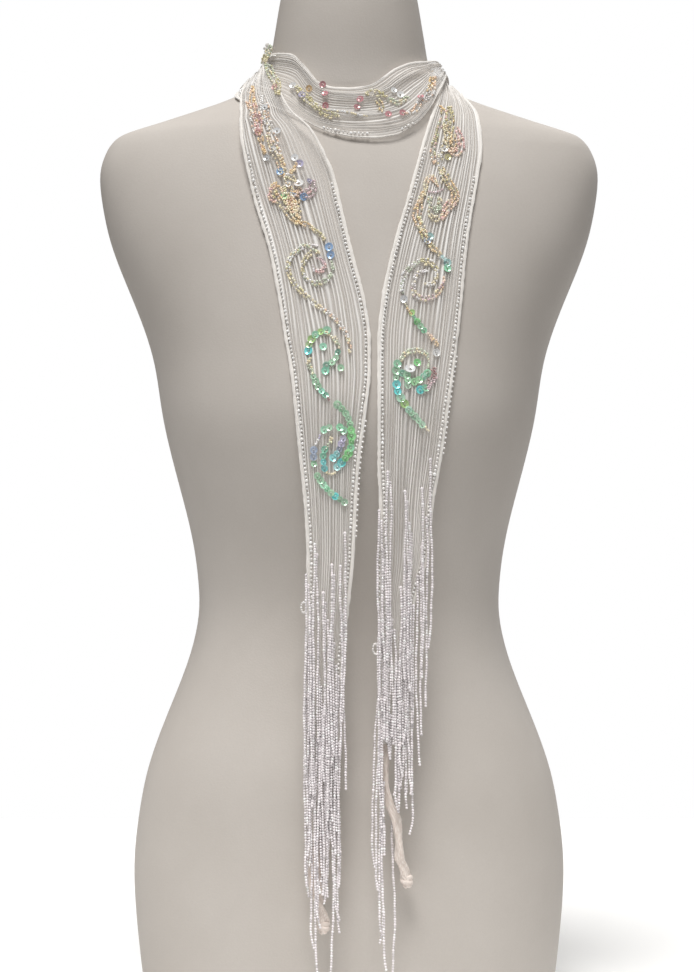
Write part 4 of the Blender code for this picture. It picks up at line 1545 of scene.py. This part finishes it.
# %% Right end: the large scroll
right.vine(
    (3.6, (OLIVE, GOLD, PALE_GOLD), (53, 590), (57, 582), (62.8, 574), (67, 570.5)),
    ((5.2, 4.4), (AQUA, AQUA, MINT), (68, 570), (72.5, 564), (71, 557.5)),
    (2.2, (PEACH, MAUVE, PALE_GOLD, PEARL, CLEAR),
     (70, 555.5), (67.5, 547), (59, 538.4), (48.2, 539.6), (46.7, 548), (51, 556), (58, 558)),
    (2.4, (OLIVE, PEARL, MOSS, WHITE), (65, 559), (59, 565.5), (49.4, 565), (41, 556), (38.6, 542)),
    (1.8, (PEARL, PALE_GOLD), (55.5, 548), (62.6, 550.5), (64.5, 559), (60.2, 563.7), (55, 564)),
    ((5.0, 4.0), (LIME, LIME, GREEN, MINT, SAGE), (45, 529), (48, 522.5), (55, 513.5)),
    (0, (OLIVE, GOLD), (41, 534), (42.5, 530), (45.5, 526)),
    (1.8, (PEACH, GOLD), (56.9, 512), (62.2, 507), (64.5, 503)),
)

# %% Right end: sequin scrolls
right.vine(
    ((5.4, 5.2), (MINT, SAGE, SAGE, CYAN, LIME, MINT),
     (35.5, 492), (34, 484), (34.2, 475), (36, 467), (43, 456)),
    ((4.8, 4.0), (SAGE,), (43.5, 455.5), (48.2, 450.5), (54, 444)),
    (0, (PALE_GOLD,), (54.5, 444), (57.5, 441)),
    ((4.8, 3.9), (TEAL, SAGE), (36.5, 483), (42, 481), (42.4, 473)),
    ((5.2, 4.0), (GREEN, LIME, MINT), (45.5, 475.7), (51.8, 478.5), (57, 483)),
    (3.6, (MAROON, MAUVE), (62, 487), (61, 480), (57, 471)),
)
top_arc = stem((36.7, 492.8), (41, 498.5), (50, 500.6), (57, 496), (57.4, 486))
right.beads(top_arc, [MOSS, PALE_GOLD, MOSS, MOSS])
right.beads(top_arc + (0.4, -2.2), [PALE_GOLD, MOSS])

# %% Right end: single sequins
right.singles(
    (71.2, 652, WHITE, 5.2),
    (73.4, 645.6, OLIVE, 4.8),
    (59.4, 584.5, AQUA, 5.2),
    (57.5, 581, SKY_BLUE, 4.8),
    (39.8, 537.2, WHITE, 5.4),
    (63.4, 498, WHITE, 5.4),
    (49.3, 490.5, GREEN, 5.2),
    (51.4, 470.5, CYAN, 5.8),
    (55.2, 472, MINT, 5.4),
    (44.1, 486.1, WHITE, 7.4, CATCHES_LIGHT),
)
stretches["right_tail"]["with"] += right.pieces()

# %% Embroidery of the loop
loop = Embroidery(stretches["front_loop"], 33)
loop.vine(
    (4.6, (OLIVE, PALE_GOLD, OLIVE), (-40, 703), (-30, 690), (-18, 680), (-7, 677)),
    (0, (WHITE, PEARL, PALE_GOLD), (-14, 682), (-3.8, 681), (4.3, 679), (13.5, 677)),
    (2.4, (GOLD, PEARL, WHITE, PEACH), (63, 711), (60.8, 703), (54.7, 692), (48.7, 682), (40.5, 679)),
    (4.4, (OLIVE, PALE_GOLD, OLIVE), (12, 695), (20, 696), (28, 694)),
    (3, (GOLD, OLIVE), (21, 691), (24.5, 686), (23, 680)),
    (3, (MOSS, PALE_GOLD, MOSS), (29, 691), (37, 689), (46, 693)),
    (2.4, (PEACH, PEARL), (66, 712), (63, 700), (58, 690)),
)
loop.singles(
    (-30, 700, GOLD, 4.8),
    (-42.2, 703, WHITE, 5.0),
    (-35.4, 695, LILAC, 5.2),
    (-19.7, 703, ROSE, 4.8),
    (-18, 695.5, ROSE, 4.8),
    (-17.6, 686, ROSE, 4.8),
    (8.3, 691, ROSE, 5.0),
    (6, 685, ROSE, 4.6),
    (29.4, 679, ROSE, 4.8),
    (40.1, 680, ROSE, 4.8),
    (53.6, 693, ROSE, 4.8),
    (33.6, 698.4, WHITE, 4.4),
    (38.6, 695, WHITE, 5.4),
)
stretches["front_loop"]["with"] += loop.pieces()

# %% Embroidery of the nape
nape = Embroidery(stretches["back_band_outer"], 34, along_strip)
nape.vine(
    (0, (GOLD, PEACH, OLIVE, GOLD), (14, 30), (28, 62), (42, 40), (52, 66)),
    (0, (PALE_GOLD, GOLD, MOSS), (16, 34), (29, 68), (43, 46), (53, 72)),
    (0, (MOSS, PALE_GOLD, OLIVE), (86, 22), (92, 40), (99, 24)),
    (0, (MOSS, PALE_GOLD, PEACH), (50, 30), (62, 58), (74, 38), (84, 60)),
    ((5.4, 4.5), (SAGE, GREEN, MINT, CYAN, WHITE), (24, 26), (30, 22), (36, 34), (38, 56)),
    ((5.4, 4.5), (WHITE, SAGE, MINT, LIME, CYAN, LILAC), (58, 30), (66, 24), (76, 34), (80, 56)),
)
nape.singles(
    (18, 74, ROSE, 5.4),
    (48, 26, WHITE, 5.4),
    (46, 78, LILAC, 5.4),
    (57, 74, ROSE, 5.4),
    (70, 66, WHITE, 5.4),
    (88, 34, LILAC, 5.4),
)
stretches["back_band_outer"]["with"] += nape.pieces()

# %% [markdown]
# ## Bead strands
# Strands of clear beads hang from three lines on each end. They hang straight down, one beside the other,
# and a strand that starts higher passes in front of those that start lower. A real strand is never quite
# straight: it sways a little, and its last beads curl where the thread is knotted.


# %% Lanes of the strands
def strip_line(table, backing):
    """The x of a line of roots by height, between the edges of its end of the scarf."""
    rows = named(FRONT_COLUMNS, table)
    rising = rows["first_height"][::-1]
    first = smooth(rising, rows["first_x"][::-1])
    second = smooth(rising, rows["second_x"][::-1])
    ends = (backing["bottom_root"], backing["top_root"])
    share = smooth(ends, (backing["bottom_share"], backing["top_share"]))
    return lambda height: first(height) + (second(height) - first(height)) * share(height)


def hang_lanes(lines, backings):
    """Where each strand hangs, by backing: its root's height, x of its lane and its end, two depths."""
    roots = []
    for backing in backings:
        for height in np.linspace(backing["bottom_root"], backing["top_root"], backing["strands"]):
            roots.append((height, backing["name"]))
    taken = {}
    lanes = {backing["name"]: [] for backing in backings}
    for height, name in sorted(roots):
        own = round(float(lines[name](height)) / LANE)
        free = {lane: taken.get(lane, -1) + 1 for lane in (own, own - 1, own + 1)}
        lane = min(free, key=free.get)
        layer = free[lane]
        taken[lane] = layer
        taken[own] = max(taken.get(own, -1), 0)
        lane_x = lane * LANE
        first_y = face(angle_of(lane_x, height), height)[1] - FIRST_LAYER
        lane_y = first_y - LAYER * layer
        lanes[name].append((height, lane_x, lane_x, first_y, lane_y))
        if height > TWIN_ROOT and any(first < lane_x < last for first, last in TWIN_SPANS):
            twin_x = lane_x + LANE / 2
            lanes[name].append((height - TWIN_DROP, twin_x, twin_x, first_y, lane_y + LAYER / 2))
    for name, hung in CORD_STRANDS.items():
        for height, root_x, end_x, from_face in hung:
            if name in lanes:
                y = face(angle_of(root_x, height), height)[1] + from_face
                lanes[name].append((height, root_x, end_x, y, y))
    return lanes


# %% Strands
KNOT_RAGGED = 20  # how much shorter still some of the strands above a knot are
DRIFT_LENGTH = 90  # how far down a strand has reached the x of its end
FREE_LENGTH = 20  # and how far down it is free to sway
SWAYS = ((0.9, 0.024), (0.45, 0.07), (0.16, 0.24))  # waves: how wide, and radians a millimetre
CURL_LENGTH = 16
CURL_SIDEWAYS = 2.6
CURL_FORWARD = (0.2, 1.6)
FIRST_BEAD = 1.25  # size of a strand's first bead, as a share of the others'
STRAND_UNEVEN = 0.07  # in the size of its beads
STRAND_SHADES = 0.16  # in their colour
STRAND_STRETCH = (0.96, 1.07)  # least and greatest share of the pitch


def strand_path(root, lane_x, end_x, first_y, lane_y, random):
    """Points of a strand from its root down, with a slight sway and a curled end.

    Those in front of a knot are shorter, so that the knot shows. Those that hang from the twisted cloth
    end at another x than they start from.
    """
    length = STRAND_LENGTH
    for first_x, last_x, lowest in KNOT_SHOWS:
        if first_x < lane_x < last_x and end_x == lane_x:
            length = min(length, root - lowest - random.uniform(0, KNOT_RAGGED))
    fallen = length * np.linspace(0, 1, 80)
    height = root - fallen
    # it starts on the cloth and has come forward to its layer after 10 mm
    y = np.interp(fallen, (0, 3, 10, STRAND_LENGTH), (first_y + 0.6, first_y, lane_y, lane_y))
    starts = random.uniform(0, math.tau, 3)
    sway = sum(wide * np.sin(often * height + start) for (wide, often), start in zip(SWAYS, starts))
    curl = np.clip((fallen - length + CURL_LENGTH) / CURL_LENGTH, 0, 1) ** 2
    x = lane_x + (end_x - lane_x) * np.clip(fallen / DRIFT_LENGTH, 0, 1)
    x = x + sway * np.clip(fallen / FREE_LENGTH, 0, 1)
    x = x + curl * random.uniform(-CURL_SIDEWAYS, CURL_SIDEWAYS)
    y = y - curl * random.uniform(*CURL_FORWARD)
    return np.stack([x, y, height], 1)


def strands(name, lanes, random):
    """All the strands of one backing, bead by bead."""
    parts = []
    for lane in lanes:
        path = strand_path(*lane, random)
        place, way, _, _ = strung(path, BEAD_PITCH * random.uniform(*STRAND_STRETCH))
        sizes = STRAND_BEAD * (1 + STRAND_UNEVEN * random.standard_normal(len(place)))
        sizes[0] *= FIRST_BEAD
        to_front = np.broadcast_to((0.0, -1.0, 0.0), way.shape)
        tints = toned(random, np.broadcast_to(CLEAR, way.shape), STRAND_SHADES)
        parts.append((place, way, to_front, sizes, tints))
    replaced = (name.replace("strands", "fringe"),)
    return copies(name, "beads", *(np.concatenate(part) for part in zip(*parts)), replaced)


strand_random = np.random.default_rng(41)
for name, table, backings in (
    ("left_tail", LEFT_TAIL, LEFT_BACKINGS),
    ("right_tail", RIGHT_TAIL, RIGHT_BACKINGS),
):
    backings = [dict(zip(BACKING_COLUMNS, backing)) for backing in backings]
    lines = {backing["name"]: strip_line(table, backing) for backing in backings}
    for backing, lanes in hang_lanes(lines, backings).items():
        piece = strands(backing.replace("fringe", "strands"), lanes, strand_random)
        stretches[name]["with"].append(piece)

# %% [markdown]
# ## Twisted ends
# Each end of the scarf tapers to a point, which is twisted into a cord and knotted. The cord is a lobed
# section that turns as it runs down. The knot is the same cloth wound round the cord, so it is a short tube
# on a helix.

# %% The twisted cords
TIP_SIDES = 30
TIP_RINGS = 150
TIP_LOBES = 2
TIP_LOBE = 0.28  # height of a lobe, as a share of the cord's radius
TIP_TWIST = 19.0  # radians from one end of a tip to the other
TIP_ROUNDING = 0.03  # the last share of the cord, where it closes
KNOT_END = 7.2  # the cord ends this far below the middle of its knot


def tip_cord(table, knot_height):
    """The twisted cord's rings, down to just below its knot."""
    rows = named(TIP_COLUMNS, table)
    places = np.linspace(0, 1, len(table))
    height, x, behind, wide, deep = (smooth(places, rows[column]) for column in TIP_COLUMNS)
    last = np.interp(KNOT_END - knot_height, -height(places), places)
    run = last * np.linspace(0, 1, TIP_RINGS)
    centre = face(angle_of(x(run), height(run)), height(run))
    centre[:, 1] += behind(run)
    around = np.arange(TIP_SIDES) * math.tau / TIP_SIDES
    turn = around[None] - TIP_TWIST * run[:, None] / TIP_LOBES
    lobes = 1 + TIP_LOBE * np.minimum(1, 4 * run)[:, None] * np.cos(TIP_LOBES * turn)
    rounding = (run[:, None] / last - (1 - TIP_ROUNDING)).clip(0) / TIP_ROUNDING
    lobes = lobes * np.sqrt(np.clip(1 - rounding**2, 0.04, 1))
    fine = 1 + 0.06 * np.cos(10 * turn + 3 * run[:, None]) + 0.03 * np.sin(13 * turn)
    ring = np.empty((TIP_RINGS, TIP_SIDES, 3))
    ring[..., 0] = centre[:, None, 0] + wide(run)[:, None] * lobes * fine * np.cos(around)
    ring[..., 1] = centre[:, None, 1] + deep(run)[:, None] * lobes * fine * np.sin(around)
    ring[..., 2] = centre[:, None, 2]
    return ring


# %% The knots
KNOT_TURNS = 2.7
KNOT_SIDES = 10
KNOT_RINGS = 60
KNOT_TUBE = 2.1  # radius of the cloth that is wound round
KNOT_REACH = 2.9  # from the cord's middle to the middle of that cloth
KNOT_TOP = 3.0  # above the height that the table gives
KNOT_TALL = 8.6
KNOT_WAVE = 0.9  # how far each turn rises and falls


def knot(ring, knot_height):
    """A tube of cloth on a helix round the cord whose rings are given."""
    middle = ring.mean(1)
    share = np.linspace(0, 1, KNOT_RINGS)
    angle = math.tau * KNOT_TURNS * share
    heights = knot_height + KNOT_TOP - KNOT_TALL * share + KNOT_WAVE * np.sin(angle)
    centre = [np.interp(-heights, -middle[:, 2], middle[:, axis]) for axis in (0, 1)]
    centre = np.stack([*centre, heights], 1)
    reach = KNOT_REACH * np.sin(math.pi * (0.02 + 0.96 * share)) ** 0.3
    path = centre + np.stack([reach * np.cos(angle), reach * np.sin(angle), 0 * share], 1)
    way = unit(np.gradient(path, axis=0))
    out = unit(path - centre + 1e-6)
    side = unit(np.cross(way, out))
    out = np.cross(side, way)
    radius = KNOT_TUBE * (0.7 + 0.3 * np.sin(math.pi * share))
    return *tube(path, out, side, radius, radius * 1.05, KNOT_SIDES), ring_uv(share * 0.02, KNOT_SIDES)


# %% Twisted ends
def tip(name, table, knot_row):
    """The twisted cord and its knot, in one piece."""
    knot_height = table[knot_row][0]
    ring = tip_cord(table, knot_height)
    wound, wound_faces, wound_uv = knot(ring, knot_height)
    points = np.concatenate([ring.reshape(-1, 3), ring[:1].mean(1), ring[-1:].mean(1)])
    cord_faces = ring_faces(TIP_RINGS, TIP_SIDES)[:, ::-1]
    piece = from_arrays(
        name,
        np.concatenate([points, wound]),
        np.concatenate([cord_faces, wound_faces + len(points)]),
        uv=np.concatenate([ring_uv(np.linspace(0, 0.1, TIP_RINGS), TIP_SIDES), wound_uv]),
    )
    return seated(piece, twisted_chiffon, (name.replace("_twisted", ""),))


LEFT_KNOT = 6  # row of the table at which the knot sits
RIGHT_KNOT = 8
stretches["left_tail"]["with"].append(tip("left_tip_twisted", LEFT_TIP, LEFT_KNOT))
stretches["right_tail"]["with"].append(tip("right_tip_twisted", RIGHT_TIP, RIGHT_KNOT))

# %% [markdown]
# ## What the cloth was cut from
# The crinkles take up some of the cloth's width. Pressed flat, the strip is about a quarter wider than it
# looks, and the ends taper. A table lists each stretch's part of that cut, and nothing is made from it.

# %% The cuts of the sheets, listed
# the share of that width that shows, and the share of its rectangle that the tapered stretch fills
CUTS = {
    "front_loop": (0.62, 0.86),
    "back_band_inner": (0.52, 0.9),
    "back_band_outer": (0.62, 0.85),
    "left_tail": (1.0, 0.62),
    "right_tail": (1.0, 0.62),
}
for name, (shown, filled) in CUTS.items():
    stretch = stretches[name]

# %% [markdown]
# ## Floor
# A pale floor under the form, which isn't part of the object. It is small, so that little of the light that
# it throws back reaches the neck.

# %% Floor
floor = added(bpy.ops.mesh.primitive_plane_add, size=1.7, location=(0, 0.1, -0.0005))
floor.name = "floor"
floor_paint, _, floor_shader = finish("floor_paint", 0.85)
floor_shader.inputs["Base Color"].default_value = (0.92, 0.92, 0.915, 1)
floor.data.materials.append(floor_paint)
